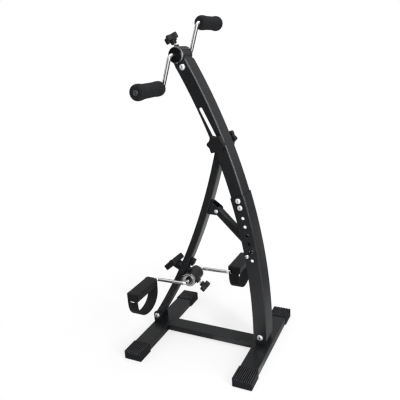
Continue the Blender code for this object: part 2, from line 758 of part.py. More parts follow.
def on_brace(along, rise):
    c, s = math.cos(brace_heading), math.sin(brace_heading)
    return (EAR[0] + along * c - rise * s, EAR[1] + along * s + rise * c)


deep = BRACE_DEPTH / 2
brace_shape = rounded([
    (*on_brace(-deep, -deep), deep * 0.98), (*on_brace(BRACE_LENGTH + deep, -deep), deep * 0.98),
    (*on_brace(BRACE_LENGTH + deep, deep), deep * 0.98), (*on_brace(-deep, deep), deep * 0.98),
], 6)
brace = outline("brace", brace_shape, BRACE_SIDE)
rebase(brace, (EAR[0], 0, EAR[1]))
brace_hollow = [
    on_brace(-0.03, -deep - 0.01), on_brace(BRACE_LENGTH + 0.03, -deep - 0.01),
    on_brace(BRACE_LENGTH + 0.03, deep - BRACE_WALL), on_brace(-0.03, deep - BRACE_WALL),
]
cut(brace, outline("brace_inside", brace_hollow, BRACE_SIDE - BRACE_WALL, cutter=True))
cut(brace, holes("brace_hole", [(EAR[0], EAR[1], EAR_HOLE)], STRUT_WIDTH))

# The hook over the pin is open along the pin's way past the brace when the mast tilts
hook_way = []
for i in range(5):
    tilt = TILT_LIMIT * 0.3 * i / 4
    spot = swing(PIN, MAST_FOOT, tilt)
    spot = swing(spot, STRUT_FOOT, -tilt * STRUT_RATIO)
    hook_way.append(Vector(swing(spot, EAR, -tilt * BRACE_RATIO)))
hook_line = (hook_way[-1] - hook_way[0]).normalized()
hook_end = hook_way[0] + hook_line * 0.05
HOOK_WIDTH = PIN_WIDTH + 0.0016
cut(brace, outline("brace_hook", capsule(hook_way[0], hook_end, HOOK_WIDTH / 2), STRUT_WIDTH, cutter=True))
paint(brace, BLACK_STEEL)

# Locking pin, pulled toward the near side
pin_place = at(PIN[0], -PIN_NEAR, PIN[1], ALONG_Y)
ball = PIN_BALL / 2
shank = PIN_WIDTH / 2
pin_profile = [(0.0, ball)]
neck = math.asin(shank / ball)
for i in range(1, 9):
    a = (math.pi - neck) * i / 8
    pin_profile.append((ball * math.sin(a), ball * math.cos(a)))
pin_length = PIN_NEAR + PIN_FAR
pin_profile += [(shank, -pin_length + 0.0015), (shank - 0.0012, -pin_length), (0.0, -pin_length)]
paint(turned("locking_pin", pin_profile, pin_place, 20), CHROME)


# Clamp across the mast's slot
def lobes(radius, count, bite, steps=6):
    """A knob's outline with round lobes."""
    points = []
    for i in range(count * steps):
        a = 2 * math.pi * i / (count * steps)
        r = radius - bite * (0.5 - 0.5 * math.cos(count * a)) ** 0.8
        points.append((r * math.cos(a), r * math.sin(a)))
    return points


def knob(name, place, width, count, bite, low, high, collar_width, collar_low, bore, bore_end):
    """A lobed knob about the place's Z, with a collar below it and a blind bore from the collar's foot."""
    middle = place @ Matrix.Translation((0, 0, (low + high) / 2))
    body = outline(name, lobes(width / 2, count, bite), (high - low) / 2, middle)
    rebase(body, place @ Vector((0, 0, 0)))
    bevel(body, 0.002, 2, 50.0)
    if collar_low < low:
        join(body, bar(name + "_collar", collar_width / 2, collar_low, (low + high) / 2, place, 20))
    cut(body, bar(name + "_bore", bore, collar_low - 0.01, bore_end, place, 16))
    return paint(body, BLACK_PLASTIC)


clamp_half = UPPER_SIDE + GAP
knob_low = clamp_half + CLAMP_COLLAR
knob_high = knob_low + CLAMP_KNOB_THICKNESS
clamp_end = knob_high - 0.005
clamp_radius = CLAMP_BOLT_WIDTH / 2
clamp_place = at(CLAMP[0], 0, CLAMP[1], ALONG_Y)
paint(turned("clamp_bolt", [
    (0.0, clamp_end), (clamp_radius - 0.0006, clamp_end), (clamp_radius, clamp_end - 0.0008),
    (clamp_radius, -clamp_end + 0.0008), (clamp_radius - 0.0006, -clamp_end), (0.0, -clamp_end),
], clamp_place, 16), CHROME)
for name, turn in (("near", ALONG_Y), ("far", Matrix.Rotation(math.radians(-90), 4, "X"))):
    place = at(CLAMP[0], 0, CLAMP[1], turn)
    knob(
        "clamp_knob_" + name, place, CLAMP_KNOB_WIDTH, 6, 0.0055, knob_low, knob_high, 0.024, clamp_half,
        clamp_radius + GAP, clamp_end + GAP,
    )
    inner, outer = STRUT_SIDE + GAP, UPPER_INSIDE - GAP
    hole = clamp_radius + GAP
    paint(turned("clamp_spacer_" + name, [
        (hole, outer), (0.007, outer), (0.007, inner), (hole, inner),
    ], place, 16), BLACK_PLASTIC)

# Hubs
UPPER_HUB = (
    on_mast(MAST_LENGTH)[0] - UPPER_HUB_RISE * math.sin(mast_angle(MAST_LENGTH)),
    on_mast(MAST_LENGTH)[1] + UPPER_HUB_RISE * math.cos(mast_angle(MAST_LENGTH)),
)
LOWER_HUB = on_strut(LOWER_HUB_UP, LOWER_HUB_REACH)
ROD = ROD_WIDTH / 2
HUB_HALF = HUB_LENGTH / 2
PAD_LOW = ROD + 0.0003
PAD_HIGH = PAD_LOW + PAD_LENGTH
PAD_ROOM = PAD_HIGH + PAD_LIFT + GAP


def hub(name, centre, knob_angle):
    """A shell along Y with a boss for the tension screw."""
    place = at(centre[0], 0, centre[1], ALONG_Y)
    r, lip = HUB_WIDTH / 2, 0.0015
    shell = turned(name, [
        (0.0, HUB_HALF), (r - lip, HUB_HALF), (r, HUB_HALF - lip), (r, -HUB_HALF + lip),
        (r - lip, -HUB_HALF), (0.0, -HUB_HALF),
    ], place, 28)
    out = at(centre[0], 0, centre[1], facing(knob_angle))
    join(shell, bar(name + "_boss", BOSS_WIDTH / 2, 0.0, BOSS_TOP, out, 20))
    return shell, place, out


def hub_bores(shell, name, place, out):
    cut(shell, bar(name + "_bore", HUB_BORE / 2, -HUB_LENGTH, HUB_LENGTH, place, 24))
    cut(shell, bar(name + "_pad_room", PAD_WIDTH / 2 + GAP, 0.0, PAD_ROOM, out, 16))
    cut(shell, bar(name + "_thread", SCREW_WIDTH / 2 + GAP, 0.0, BOSS_TOP + 0.01, out, 16))
    return paint(shell, BLACK_STEEL)


upper_hub, upper_axis, upper_out_place = hub("upper_hub", UPPER_HUB, mast_angle(MAST_LENGTH) + math.pi / 2)
mast_end = at(UPPER_HUB[0], 0, UPPER_HUB[1], facing(mast_angle(MAST_LENGTH) + math.pi / 2))
NECK_LENGTH = 0.036
NECK_SAG = NECK_LENGTH * NECK_LENGTH / 2 / MAST_RADIUS
neck_front = upper_out - MAST_RADIUS - CHANNEL_WALL - GAP - NECK_SAG
neck_back = MAST_RADIUS - upper_in
neck_side = UPPER_INSIDE - GAP
NECK_END = -UPPER_HUB_RISE - NECK_LENGTH
join(upper_hub, boxes(
    "upper_hub_neck", [((-neck_back, -neck_side, NECK_END), (neck_front, neck_side, -0.006))], mast_end, True
))
cut(upper_hub, holes("upper_hub_neck_hole", [(*TOP_BOLT, HOLE)], LOWER_WIDTH))
hub_bores(upper_hub, "upper_hub", upper_axis, upper_out_place)

lower_hub, lower_axis, lower_out_place = hub("lower_hub", LOWER_HUB, LOWER_KNOB_ANGLE)
SADDLE = 0.026
saddle_seat = STRUT_DEPTH / 2 + GAP + SADDLE * SADDLE / 8 / STRUT_RADIUS
saddle_reach = LOWER_HUB_REACH - 0.012
saddle_corners = [(saddle_seat, -1), (saddle_reach, -1), (saddle_reach, 1), (saddle_seat, 1)]
saddle_shape = [beside_strut(LOWER_HUB_UP, reach, side * SADDLE / 2) for reach, side in saddle_corners]
join(lower_hub, outline("lower_hub_saddle", saddle_shape, STRUT_SIDE - EDGE_ROUND, cutter=True))
hub_bores(lower_hub, "lower_hub", lower_axis, lower_out_place)


def hub_ends(name, centre, flange_width, dish):
    """A chrome ring and a black bush at each end of a hub."""
    sleeve = HUB_BORE / 2 - GAP
    inner = ROD + RUN
    start = HUB_HALF + GAP
    for side, turn in (("near", ALONG_Y), ("far", Matrix.Rotation(math.radians(-90), 4, "X"))):
        place = at(centre[0], 0, centre[1], turn)
        rim = RING_WIDTH / 2
        ring_hole = sleeve + GAP
        paint(turned(name + "_ring_" + side, [
            (ring_hole, start + RING_THICKNESS), (rim * 0.62, start + RING_THICKNESS),
            (rim - 0.0015, start + RING_THICKNESS + dish), (rim, start + RING_THICKNESS + dish - 0.0006),
            (rim, start), (ring_hole, start),
        ], place, 28), CHROME)
        low = start + RING_THICKNESS + GAP + (dish if flange_width > RING_WIDTH * 0.6 else 0.0)
        high = low + BUSH_FLANGE
        r = flange_width / 2
        bush = turned(name + "_bush_" + side, [
            (inner, high), (r - 0.001, high), (r, high - 0.001), (r, low), (sleeve, low),
            (sleeve, HUB_HALF - BUSH_SLEEVE), (inner, HUB_HALF - BUSH_SLEEVE),
        ], place, 24)
        paint(bush, BLACK_PLASTIC)


hub_ends("upper", UPPER_HUB, UPPER_BUSH_WIDTH, 0.0)
hub_ends("lower", LOWER_HUB, LOWER_BUSH_WIDTH, 0.0022)


def tension(name, out):
    """A pad against the crank rod, and the screw and the knob that press it."""
    paint(bar(name + "_pad", PAD_WIDTH / 2, PAD_LOW, PAD_HIGH, out, 16, False), BRASS)
    low = PAD_HIGH + GAP
    r = SCREW_WIDTH / 2
    head = TENSION_KNOB_START + TENSION_KNOB_THICKNESS * 0.6
    paint(turned(name + "_screw", [
        (0.0, head), (r, head), (r, low + 0.0008), (r - 0.0008, low), (0.0, low),
    ], out, 16), CHROME)
    knob(
        name + "_knob", out, TENSION_KNOB_WIDTH, 4, 0.009, TENSION_KNOB_START,
        TENSION_KNOB_START + TENSION_KNOB_THICKNESS, TENSION_COLLAR_WIDTH, TENSION_COLLAR_START,
        r + GAP, head + GAP,
    )


tension("upper_tension", upper_out_place)
tension("lower_tension", lower_out_place)


# Cranks, each one bent rod
def crank_path(centre, reach, angle, offset, bend, end):
    corners = [
        (centre[0] + reach * math.cos(angle), -end, centre[1] + reach * math.sin(angle)),
        (centre[0] + reach * math.cos(angle), -offset, centre[1] + reach * math.sin(angle)),
        (centre[0], -offset, centre[1]),
        (centre[0], offset, centre[1]),
        (centre[0] - reach * math.cos(angle), offset, centre[1] - reach * math.sin(angle)),
        (centre[0] - reach * math.cos(angle), end, centre[1] - reach * math.sin(angle)),
    ]
    corners = [Vector(c) for c in corners]
    path = [corners[0]]
    for before, here, after in zip(corners, corners[1:], corners[2:]):
        back, ahead = (before - here).normalized(), (after - here).normalized()
        middle = here + (back + ahead) * bend
        for k in range(7):
            a = math.pi / 2 * k / 6
            path.append(middle - ahead * bend * math.cos(a) - back * bend * math.sin(a))
    path.append(corners[-1])
    return path, corners


upper_path, upper_corners = crank_path(
    UPPER_HUB, UPPER_ARM, UPPER_ARM_ANGLE, UPPER_ARM_OFFSET, UPPER_BEND, UPPER_ROD_END
)
lower_path, lower_corners = crank_path(
    LOWER_HUB, LOWER_ARM, LOWER_ARM_ANGLE, LOWER_ARM_OFFSET, LOWER_BEND, PEDAL_ROD_END
)
upper_crank = rod("upper_crank", upper_path, ROD_WIDTH)
rebase(upper_crank, (UPPER_HUB[0], 0, UPPER_HUB[1]))
paint(smooth(upper_crank), CHROME)
lower_crank = rod("lower_crank", lower_path, ROD_WIDTH)
rebase(lower_crank, (LOWER_HUB[0], 0, LOWER_HUB[1]))
paint(smooth(lower_crank), CHROME)


# Foam grips
def grip(name, spot, turn):
    place = at(spot.x, 0, spot.z, turn)
    hole = ROD + RUN
    inner, outer, waist = GRIP_INNER_BULB / 2, GRIP_OUTER_BULB / 2, GRIP_WAIST / 2
    length = GRIP_OUTER - GRIP_INNER
    shape = [
        (0.0, outer * 0.62), (0.02, outer * 0.86), (0.06, outer * 0.98), (0.11, outer), (0.17, outer * 0.97),
        (0.26, waist * 1.03), (0.36, waist), (0.62, waist), (0.72, waist * 1.02), (0.83, inner * 0.98),
        (0.89, inner), (0.94, inner * 0.97), (0.98, inner * 0.86), (1.0, inner * 0.62),
    ]
    profile = [(hole, GRIP_OUTER)] + [(r, GRIP_OUTER - length * t) for t, r in shape] + [(hole, GRIP_INNER)]
    return paint(turned(name, profile, place, 24), FOAM)


AWAY_Y = Matrix.Rotation(math.radians(-90), 4, "X")
grip("upper_grip_near", upper_corners[0], ALONG_Y)
grip("upper_grip_far", upper_corners[-1], AWAY_Y)


# Pedals with straps
def pedal(name, spot, side, lean):
    """A block beside its axle; side is -1 near and 1 far, lean tells which way it lies from the axle."""
    middle = at(spot.x + lean * PEDAL_SIDE_OFFSET, 0, spot.z + lean * PEDAL_DROP_OFFSET)
    low, high = sorted((side * PEDAL_INNER, side * PEDAL_OUTER))
    half, tall = PEDAL_LENGTH / 2, PEDAL_HEIGHT / 2
    body = boxes(name, [((-half, low, -tall), (half, high, tall))], middle)
    bevel(body, 0.003)
    grooves = []
    count = int((PEDAL_OUTER - PEDAL_INNER - 0.012) / PEDAL_GROOVE_PITCH)
    for i in range(count):
        y = (low + high) / 2 + (i - (count - 1) / 2) * PEDAL_GROOVE_PITCH
        near, far = y - PEDAL_GROOVE / 2, y + PEDAL_GROOVE / 2
        flat = half - 0.006
        grooves.append(((-flat, near, tall - PEDAL_GROOVE_DEPTH), (flat, far, tall + 0.01)))
        grooves.append(((-flat, near, -tall - 0.01), (flat, far, -tall + PEDAL_GROOVE_DEPTH)))
    cut(body, boxes(name + "_grooves", grooves, middle, True))
    axle = at(spot.x, 0, spot.z, ALONG_Y if side < 0 else AWAY_Y)
    cut(body, bar(name + "_bore", ROD + RUN, PEDAL_INNER - 0.02, PEDAL_ROD_END + GAP, axle, 20))
    rebase(body, (spot.x, side * (PEDAL_INNER + PEDAL_OUTER) / 2, spot.z))
    return paint(body, BLACK_PLASTIC)


def strap(name, spot, side, lean):
    """A rubber loop under a pedal, from its outer end face to its inner end face."""
    thick = STRAP_THICKNESS / 2
    inner = PEDAL_INNER - GAP - thick
    outer = PEDAL_OUTER + GAP + thick
    middle = spot.x + lean * PEDAL_SIDE_OFFSET
    body_low = lean * PEDAL_DROP_OFFSET - PEDAL_HEIGHT / 2
    top, shoulder = body_low + STRAP_LAP, body_low - 0.004
    deep = STRAP_LOOP - thick + shoulder - body_low
    centre, reach = (inner + outer) / 2, (outer - inner) / 2
    way = [Vector((inner, top))]
    for i in range(17):
        a = math.pi * i / 16
        way.append(Vector((centre - reach * math.cos(a), shoulder - deep * math.sin(a) ** 0.8)))
    way.append(Vector((outer, top)))
    left, right = [], []
    for i, here in enumerate(way):
        ahead = (way[min(i + 1, len(way) - 1)] - way[max(i - 1, 0)]).normalized()
        normal = Vector((-ahead.y, ahead.x)) * thick
        left.append(here + normal)
        right.append(here - normal)
    shape = [(p.x * side, p.y) for p in left + right[::-1]]
    band_obj = outline(name, shape, STRAP_WIDTH / 2, at(middle, 0, spot.z, ACROSS_X))
    rebase(band_obj, (spot.x, side * (PEDAL_INNER + PEDAL_OUTER) / 2, spot.z))
    room = at(spot.x, 0, spot.z, ALONG_Y if side < 0 else AWAY_Y)
    cut(band_obj, bar(name + "_rod_hole", ROD + STRAP_ROOM, 0.0, PEDAL_INNER + 0.01, room, 20))
    return paint(band_obj, RUBBER)


near_axle, far_axle = lower_corners[0], lower_corners[-1]
pedal("pedal_near", near_axle, -1, -1)
pedal("pedal_far", far_axle, 1, 1)
strap("pedal_strap_near", near_axle, -1, -1)
strap("pedal_strap_far", far_axle, 1, 1)

# Counter on the strut's rear face
case_spot = on_strut(CASE_UP, -CASE_REACH)
case_place = at(case_spot[0], 0, case_spot[1], Matrix.Rotation(CASE_ANGLE, 4, "Y"))
wide, tall, deep = CASE_WIDTH / 2, CASE_HEIGHT / 2, CASE_DEPTH / 2
case = boxes("counter_case", [((-tall, -wide, -deep), (tall, wide, deep))], case_place)
bevel(case, 0.003)
stem_place = at(case_spot[0], 0, case_spot[1], Matrix.Rotation(-strut_angle(CASE_UP), 4, "Y"))
stem_seat = CASE_REACH - STRUT_DEPTH / 2 - GAP
stem_side = CASE_STEM_DEPTH / 2
join(case, boxes("counter_stem", [
    ((0.0, -CASE_STEM_WIDTH / 2, -stem_side), (stem_seat, CASE_STEM_WIDTH / 2, stem_side)),
], stem_place, True))
WINDOW_SHIFT = 0.006
window_low = (WINDOW_SHIFT - WINDOW_HEIGHT / 2, -WINDOW_WIDTH / 2)
window_high = (WINDOW_SHIFT + WINDOW_HEIGHT / 2, WINDOW_WIDTH / 2)
cut(case, boxes("counter_window_room", [
    ((*window_low, deep - WINDOW_RECESS), (*window_high, deep + 0.01)),
], case_place, True))
BUTTON_SHIFT = -0.012
button_place = case_place @ Matrix.Translation((BUTTON_SHIFT, 0, 0))
BUTTON_ROOM = 0.005
BUTTON_TRAVEL = 0.0012
cut(case, bar("counter_button_room", BUTTON_WIDTH / 2 + GAP, deep - BUTTON_ROOM, deep + 0.01, button_place, 20))
paint(case, BLACK_PLASTIC)
paint(boxes("counter_window", [(
    (window_low[0] + GAP, window_low[1] + GAP, deep - WINDOW_RECESS + GAP),
    (window_high[0] - GAP, window_high[1] - GAP, deep + 0.0004),
)], case_place), DISPLAY)
cap_top = deep + BUTTON_RISE
button_radius = BUTTON_WIDTH / 2
button_base = deep - BUTTON_ROOM + BUTTON_TRAVEL + GAP
paint(turned("counter_button", [
    (0.0, cap_top), (button_radius - 0.0008, cap_top), (button_radius, cap_top - 0.0008),
    (button_radius, button_base), (0.0, button_base),
], button_place, 20), RUBBER)

# Sensor in front of the strut, above the lower hub
FLANGE_DROP = 0.012
SENSOR_UP = LOWER_HUB_UP + HUB_WIDTH / 2 + SENSOR_GAP + FLANGE_DROP + SENSOR_HEIGHT / 2
sensor_seat = STRUT_DEPTH / 2 + GAP
sensor_side = SENSOR_WIDTH / 2
sensor_spot = on_strut(SENSOR_UP)
sensor_place = at(sensor_spot[0], 0, sensor_spot[1], Matrix.Rotation(-strut_angle(SENSOR_UP), 4, "Y"))
sensor_low = (sensor_seat, -sensor_side, -SENSOR_HEIGHT / 2)
sensor_high = (sensor_seat + SENSOR_DEPTH, sensor_side, SENSOR_HEIGHT / 2)
sensor = boxes("counter_sensor", [(sensor_low, sensor_high)], sensor_place)
bevel(sensor, 0.0015)
flange_low = (sensor_seat, -0.006, -SENSOR_HEIGHT / 2 - FLANGE_DROP)
flange_high = (sensor_seat + SENSOR_FLANGE, 0.006, 0.0)
join(sensor, boxes("counter_sensor_flange", [(flange_low, flange_high)], sensor_place, True))
screw_spot = sensor_place @ Matrix.Translation((0, 0, -SENSOR_HEIGHT / 2 - FLANGE_DROP / 2))
screw_out = screw_spot @ Matrix.Rotation(math.radians(90), 4, "Y")
SENSOR_SCREW = 0.003
screw_hole = SENSOR_SCREW / 2 + GAP
cut(sensor, bar("counter_sensor_hole", screw_hole, 0.0, sensor_seat + 0.01, screw_out, 12))
cut(strut, bar("strut_sensor_hole", screw_hole, 0.0, STRUT_DEPTH, screw_out, 12))
paint(sensor, BLACK_PLASTIC)
screw_seat = sensor_seat + SENSOR_FLANGE + GAP
screw_length = SENSOR_FLANGE + TUBE_WALL + 3 * GAP + 0.002
screw_head = dome(0.0033, 0.0026, 3) + [
    (SENSOR_SCREW / 2, 0.0), (SENSOR_SCREW / 2, -screw_length), (0.0, -screw_length),
]
paint(turned("sensor_screw", screw_head, screw_out @ Matrix.Translation((0, 0, screw_seat)), 14), CHROME)

# Bodies that move hang from an empty on their joint's axis
bpy.context.view_layer.update()


def hang(name, pivot, members, under=None):
    empty = bpy.data.objects.new(name, None)
    BIKE.objects.link(empty)
    empty.location = pivot
    bpy.context.view_layer.update()
    for member in members:
        obj = bpy.data.objects[member]
        obj.parent = empty
        obj.matrix_parent_inverse = empty.matrix_world.inverted()
    if under:
        empty.parent = under
        empty.matrix_parent_inverse = under.matrix_world.inverted()
    bpy.context.view_layer.update()
    return empty


mast_pivot = hang("mast_pivot", (MAST_FOOT[0], 0, MAST_FOOT[1]), [
    "mast_lower", "mast_upper", "joint_bolt_low", "joint_bolt_high", "top_bolt", "upper_hub", "upper_ring_near",
    "upper_ring_far", "upper_bush_near", "upper_bush_far", "locking_pin",
])
strut_pivot = hang("strut_pivot", (STRUT_FOOT[0], 0, STRUT_FOOT[1]), [
    "strut", "strut_ears", "brace_bolt", "clamp_bolt", "clamp_spacer_near", "clamp_spacer_far", "lower_hub",
    "lower_ring_near", "lower_ring_far", "lower_bush_near", "lower_bush_far", "counter_case", "counter_window",
    "counter_button", "counter_sensor", "sensor_screw",
])
hang("brace_pivot", (EAR[0], 0, EAR[1]), ["brace"], strut_pivot)
hang("clamp_pivot", (CLAMP[0], 0, CLAMP[1]), ["clamp_knob_near", "clamp_knob_far"], strut_pivot)
upper_crank_pivot = hang("upper_crank_pivot", (UPPER_HUB[0], 0, UPPER_HUB[1]), ["upper_crank"], mast_pivot)
lower_crank_pivot = hang("lower_crank_pivot", (LOWER_HUB[0], 0, LOWER_HUB[1]), ["lower_crank"], strut_pivot)
hang("upper_grip_pivot_near", upper_corners[0], ["upper_grip_near"], upper_crank_pivot)
hang("upper_grip_pivot_far", upper_corners[-1], ["upper_grip_far"], upper_crank_pivot)
hang("pedal_pivot_near", near_axle, ["pedal_near", "pedal_strap_near"], lower_crank_pivot)
hang("pedal_pivot_far", far_axle, ["pedal_far", "pedal_strap_far"], lower_crank_pivot)
hang("upper_tension_pivot", (UPPER_HUB[0], 0, UPPER_HUB[1]), [
    "upper_tension_pad", "upper_tension_screw", "upper_tension_knob",
], mast_pivot)
hang("lower_tension_pivot", (LOWER_HUB[0], 0, LOWER_HUB[1]), [
    "lower_tension_pad", "lower_tension_screw", "lower_tension_knob",
], strut_pivot)

# Each cutter follows the piece that it shapes
for obj, other in CUTS:
    other.parent = obj
    other.matrix_parent_inverse = obj.matrix_world.inverted()
for name, spot in (
    ("mast foot", MAST_FOOT), ("strut foot", STRUT_FOOT), ("clamp", CLAMP), ("ear", EAR), ("pin", PIN),
    ("upper hub", UPPER_HUB), ("lower hub", LOWER_HUB), ("near axle", (near_axle.x, near_axle.z)),
    ("far axle", (far_axle.x, far_axle.z)), ("upper rod end", (upper_corners[0].x, upper_corners[0].z)),
    ("far upper rod end", (upper_corners[-1].x, upper_corners[-1].z)),
    ("button", (button_place.translation.x, button_place.translation.z)),
):
    print("%-18s %8.5f %8.5f" % (name, spot[0], spot[1]))
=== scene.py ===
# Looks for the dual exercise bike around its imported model, in metres and in the model's own frame.
import json
import math

import bmesh
import bpy
from mathutils import Matrix, Vector


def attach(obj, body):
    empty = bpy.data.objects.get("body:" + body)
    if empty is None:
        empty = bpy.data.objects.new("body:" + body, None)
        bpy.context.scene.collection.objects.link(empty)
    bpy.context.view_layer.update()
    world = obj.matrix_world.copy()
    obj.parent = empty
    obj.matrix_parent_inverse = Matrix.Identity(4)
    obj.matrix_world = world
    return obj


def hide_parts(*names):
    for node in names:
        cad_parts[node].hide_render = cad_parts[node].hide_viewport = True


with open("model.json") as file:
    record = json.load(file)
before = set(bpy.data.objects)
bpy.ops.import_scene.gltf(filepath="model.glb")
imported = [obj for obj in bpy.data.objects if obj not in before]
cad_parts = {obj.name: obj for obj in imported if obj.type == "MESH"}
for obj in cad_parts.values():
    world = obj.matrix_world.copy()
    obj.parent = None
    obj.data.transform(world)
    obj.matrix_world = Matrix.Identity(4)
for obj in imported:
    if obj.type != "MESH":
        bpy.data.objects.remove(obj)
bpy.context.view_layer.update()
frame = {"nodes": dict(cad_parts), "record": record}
BODY_OF = {node: body for body, nodes in frame["record"]["behaviour"]["bodies"].items() for node in nodes}
SLOT_OF = {row["node"]: row["material_slot"] for row in frame["record"]["subparts"]}


def placed(name, data, place=Matrix.Identity(4)):
    """A new object in the scene."""
    obj = bpy.data.objects.new(name, data)
    bpy.context.scene.collection.objects.link(obj)
    obj.matrix_world = place
    return obj


# Camera, fitted to the photograph
CAMERA_SPOT, CAMERA_LENS = (0.5757, -1.1936, 0.8874), 42.13
AZIMUTH, DOWN, ROLL = math.radians(26.32), math.radians(17.55), math.radians(-3.54)
forward = Vector((
    -math.sin(AZIMUTH) * math.cos(DOWN), math.cos(AZIMUTH) * math.cos(DOWN), -math.sin(DOWN)
))
level = Vector((math.cos(AZIMUTH), math.sin(AZIMUTH), 0.0))
above = level.cross(forward)
right = level * math.cos(ROLL) + above * math.sin(ROLL)
upward = above * math.cos(ROLL) - level * math.sin(ROLL)
camera_data = bpy.data.cameras.new("camera")
camera_data.sensor_width = 36.0
camera_data.lens = CAMERA_LENS
camera_data.clip_start = 0.05
facing = Matrix((right, upward, -forward)).transposed().to_4x4()
bpy.context.scene.camera = placed("camera", camera_data, Matrix.Translation(CAMERA_SPOT) @ facing)


# Shader building
class Sock:
    """An output socket that can be used in sums."""

    def __init__(self, look, out):
        self.look, self.out = look, out

    def maths(self, kind, *values):
        """A maths node's result, from sockets and plain numbers."""
        node = self.look.tree.nodes.new("ShaderNodeMath")
        node.operation = kind
        for slot, value in zip(node.inputs, values):
            self.look.put(slot, value)
        return Sock(self.look, node.outputs[0])

    def __add__(self, other):
        return self.maths("ADD", self, other)

    def __radd__(self, other):
        return self.maths("ADD", other, self)

    def __rsub__(self, other):
        return self.maths("SUBTRACT", other, self)

    def __mul__(self, other):
        return self.maths("MULTIPLY", self, other)

    def __truediv__(self, other):
        return self.maths("DIVIDE", self, other)

    def __pow__(self, other):
        return self.maths("POWER", self, other)

    def high(self, other):
        """The higher of the two."""
        return self.maths("MAXIMUM", self, other)

    def step(self, low, high):
        """Rises smoothly from 0 at low to 1 at high."""
        node = self.look.tree.nodes.new("ShaderNodeMapRange")
        node.interpolation_type = "SMOOTHSTEP"
        node.clamp = True
        for key, value in (("Value", self), ("From Min", low), ("From Max", high)):
            self.look.put(node.inputs[key], value)
        return Sock(self.look, node.outputs["Result"])


class Look:
    """One procedural material."""

    def __init__(self, name, **constants):
        self.material = bpy.data.materials.new(name)
        self.material.use_nodes = True
        self.tree = self.material.node_tree
        self.shader = self.tree.nodes["Principled BSDF"]
        for key, value in constants.items():
            self.shader.inputs[key.replace("_", " ")].default_value = value

    def put(self, slot, value):
        """Links a socket or sets a plain number or colour."""
        if isinstance(value, Sock):
            self.tree.links.new(value.out, slot)
        elif isinstance(value, (tuple, list)) and len(slot.default_value) == 4 and len(value) == 3:
            slot.default_value = (*value, 1.0)
        else:
            slot.default_value = value

    def node(self, kind, output, settings=None, **inputs):
        """A node's output, with its settings made and its inputs filled."""
        made = self.tree.nodes.new("ShaderNode" + kind)
        for key, value in (settings or {}).items():
            setattr(made, key, value)
        for key, value in inputs.items():
            self.put(made.inputs[key.replace("_", " ")], value)
        return Sock(self, made.outputs[output])

    def place(self, scale=(1.0, 1.0, 1.0)):
        """The spot on the object, scaled along each axis."""
        return self.node("Mapping", "Vector", Vector=self.node("TexCoord", "Object"), Scale=scale)

    def part(self, vector, axis):
        """One of the vector's three numbers."""
        return self.node("SeparateXYZ", axis, Vector=vector)

    def marked(self, layer):
        """The value that the mesh's faces carry in the layer."""
        return self.node("Attribute", "Fac", {"attribute_name": layer})

    def noise(self, vector, scale, detail, rough):
        """Soft noise, finer with a higher scale."""
        return self.node("TexNoise", "Fac", Vector=vector, Scale=scale, Detail=detail, Roughness=rough)

    def cells(self, vector, scale):
        """The distance from the middle of small random cells."""
        return self.node("TexVoronoi", "Distance", Vector=vector, Scale=scale)

    def blend(self, factor, first, second):
        """Goes from the first colour at 0 to the second at 1."""
        made = self.tree.nodes.new("ShaderNodeMix")
        made.data_type = "RGBA"
        slots = {slot.identifier: slot for slot in made.inputs}
        for key, value in (("Factor_Float", factor), ("A_Color", first), ("B_Color", second)):
            self.put(slots[key], value)
        return Sock(self, next(slot for slot in made.outputs if slot.identifier == "Result_Color"))

    def colour(self, value):
        self.put(self.shader.inputs["Base Color"], value)

    def rough(self, value):
        self.put(self.shader.inputs["Roughness"], value)

    def bump(self, height, distance, strength):
        """Adds relief of the given depth in metres on top of any relief before it."""
        made = self.tree.nodes.new("ShaderNodeBump")
        made.inputs["Distance"].default_value = distance
        made.inputs["Strength"].default_value = strength
        self.put(made.inputs["Height"], height)
        slot = self.shader.inputs["Normal"]
        if slot.is_linked:
            self.tree.links.new(slot.links[0].from_socket, made.inputs["Normal"])
        self.tree.links.new(made.outputs["Normal"], slot)


class Sky(Look):
    """The world's tree, built in the same way."""

    def __init__(self, world):
        world.use_nodes = True
        self.tree = world.node_tree
        self.tree.nodes.clear()


# The marked folds show their full painted highlight above the higher of these heights and a share of it below
# the lower
HIGHLIGHT_FROM, HIGHLIGHT_TO, HIGHLIGHT_LOW_SHARE = 0.38, 0.58, 0.15


def steel_look():
    """Satin black powder coat: orange peel, fine grit, a little dust, and a painted highlight at the marked
    folds, full higher up.
    """
    look = Look("powder_coat", Specular_IOR_Level=0.40)
    dark, pale, dusty = (0.0066, 0.0073, 0.0086), (0.0094, 0.0101, 0.0115), (0.022, 0.022, 0.023)
    highlight_colour = (0.080, 0.081, 0.084)
    spot = look.place()
    peel = look.noise(spot, 420.0, 2.0, 0.5)
    grit = look.noise(spot, 2200.0, 1.0, 0.5)
    cloud = look.noise(spot, 9.0, 3.0, 0.6)
    dust = look.noise(spot, 60.0, 4.0, 0.65).step(0.55, 0.85)
    coat = look.blend(dust * 0.30, look.blend(cloud.step(0.3, 0.7), dark, pale), dusty)
    # Painted highlight: the marked fold and brace-edge faces go pale, in full high up and by a share lower
    # down
    highlight_rise = look.part(spot, "Z").step(HIGHLIGHT_FROM, HIGHLIGHT_TO)
    highlight_share = look.marked("edge_highlight") * (HIGHLIGHT_LOW_SHARE + highlight_rise * (1.0 - HIGHLIGHT_LOW_SHARE))
    look.colour(look.blend(highlight_share, coat, highlight_colour))
    look.rough(0.33 + peel * 0.05 + dust * 0.10)
    look.bump(peel, 0.00012, 0.5)
    look.bump(grit, 0.00004, 0.4)
    return look.material


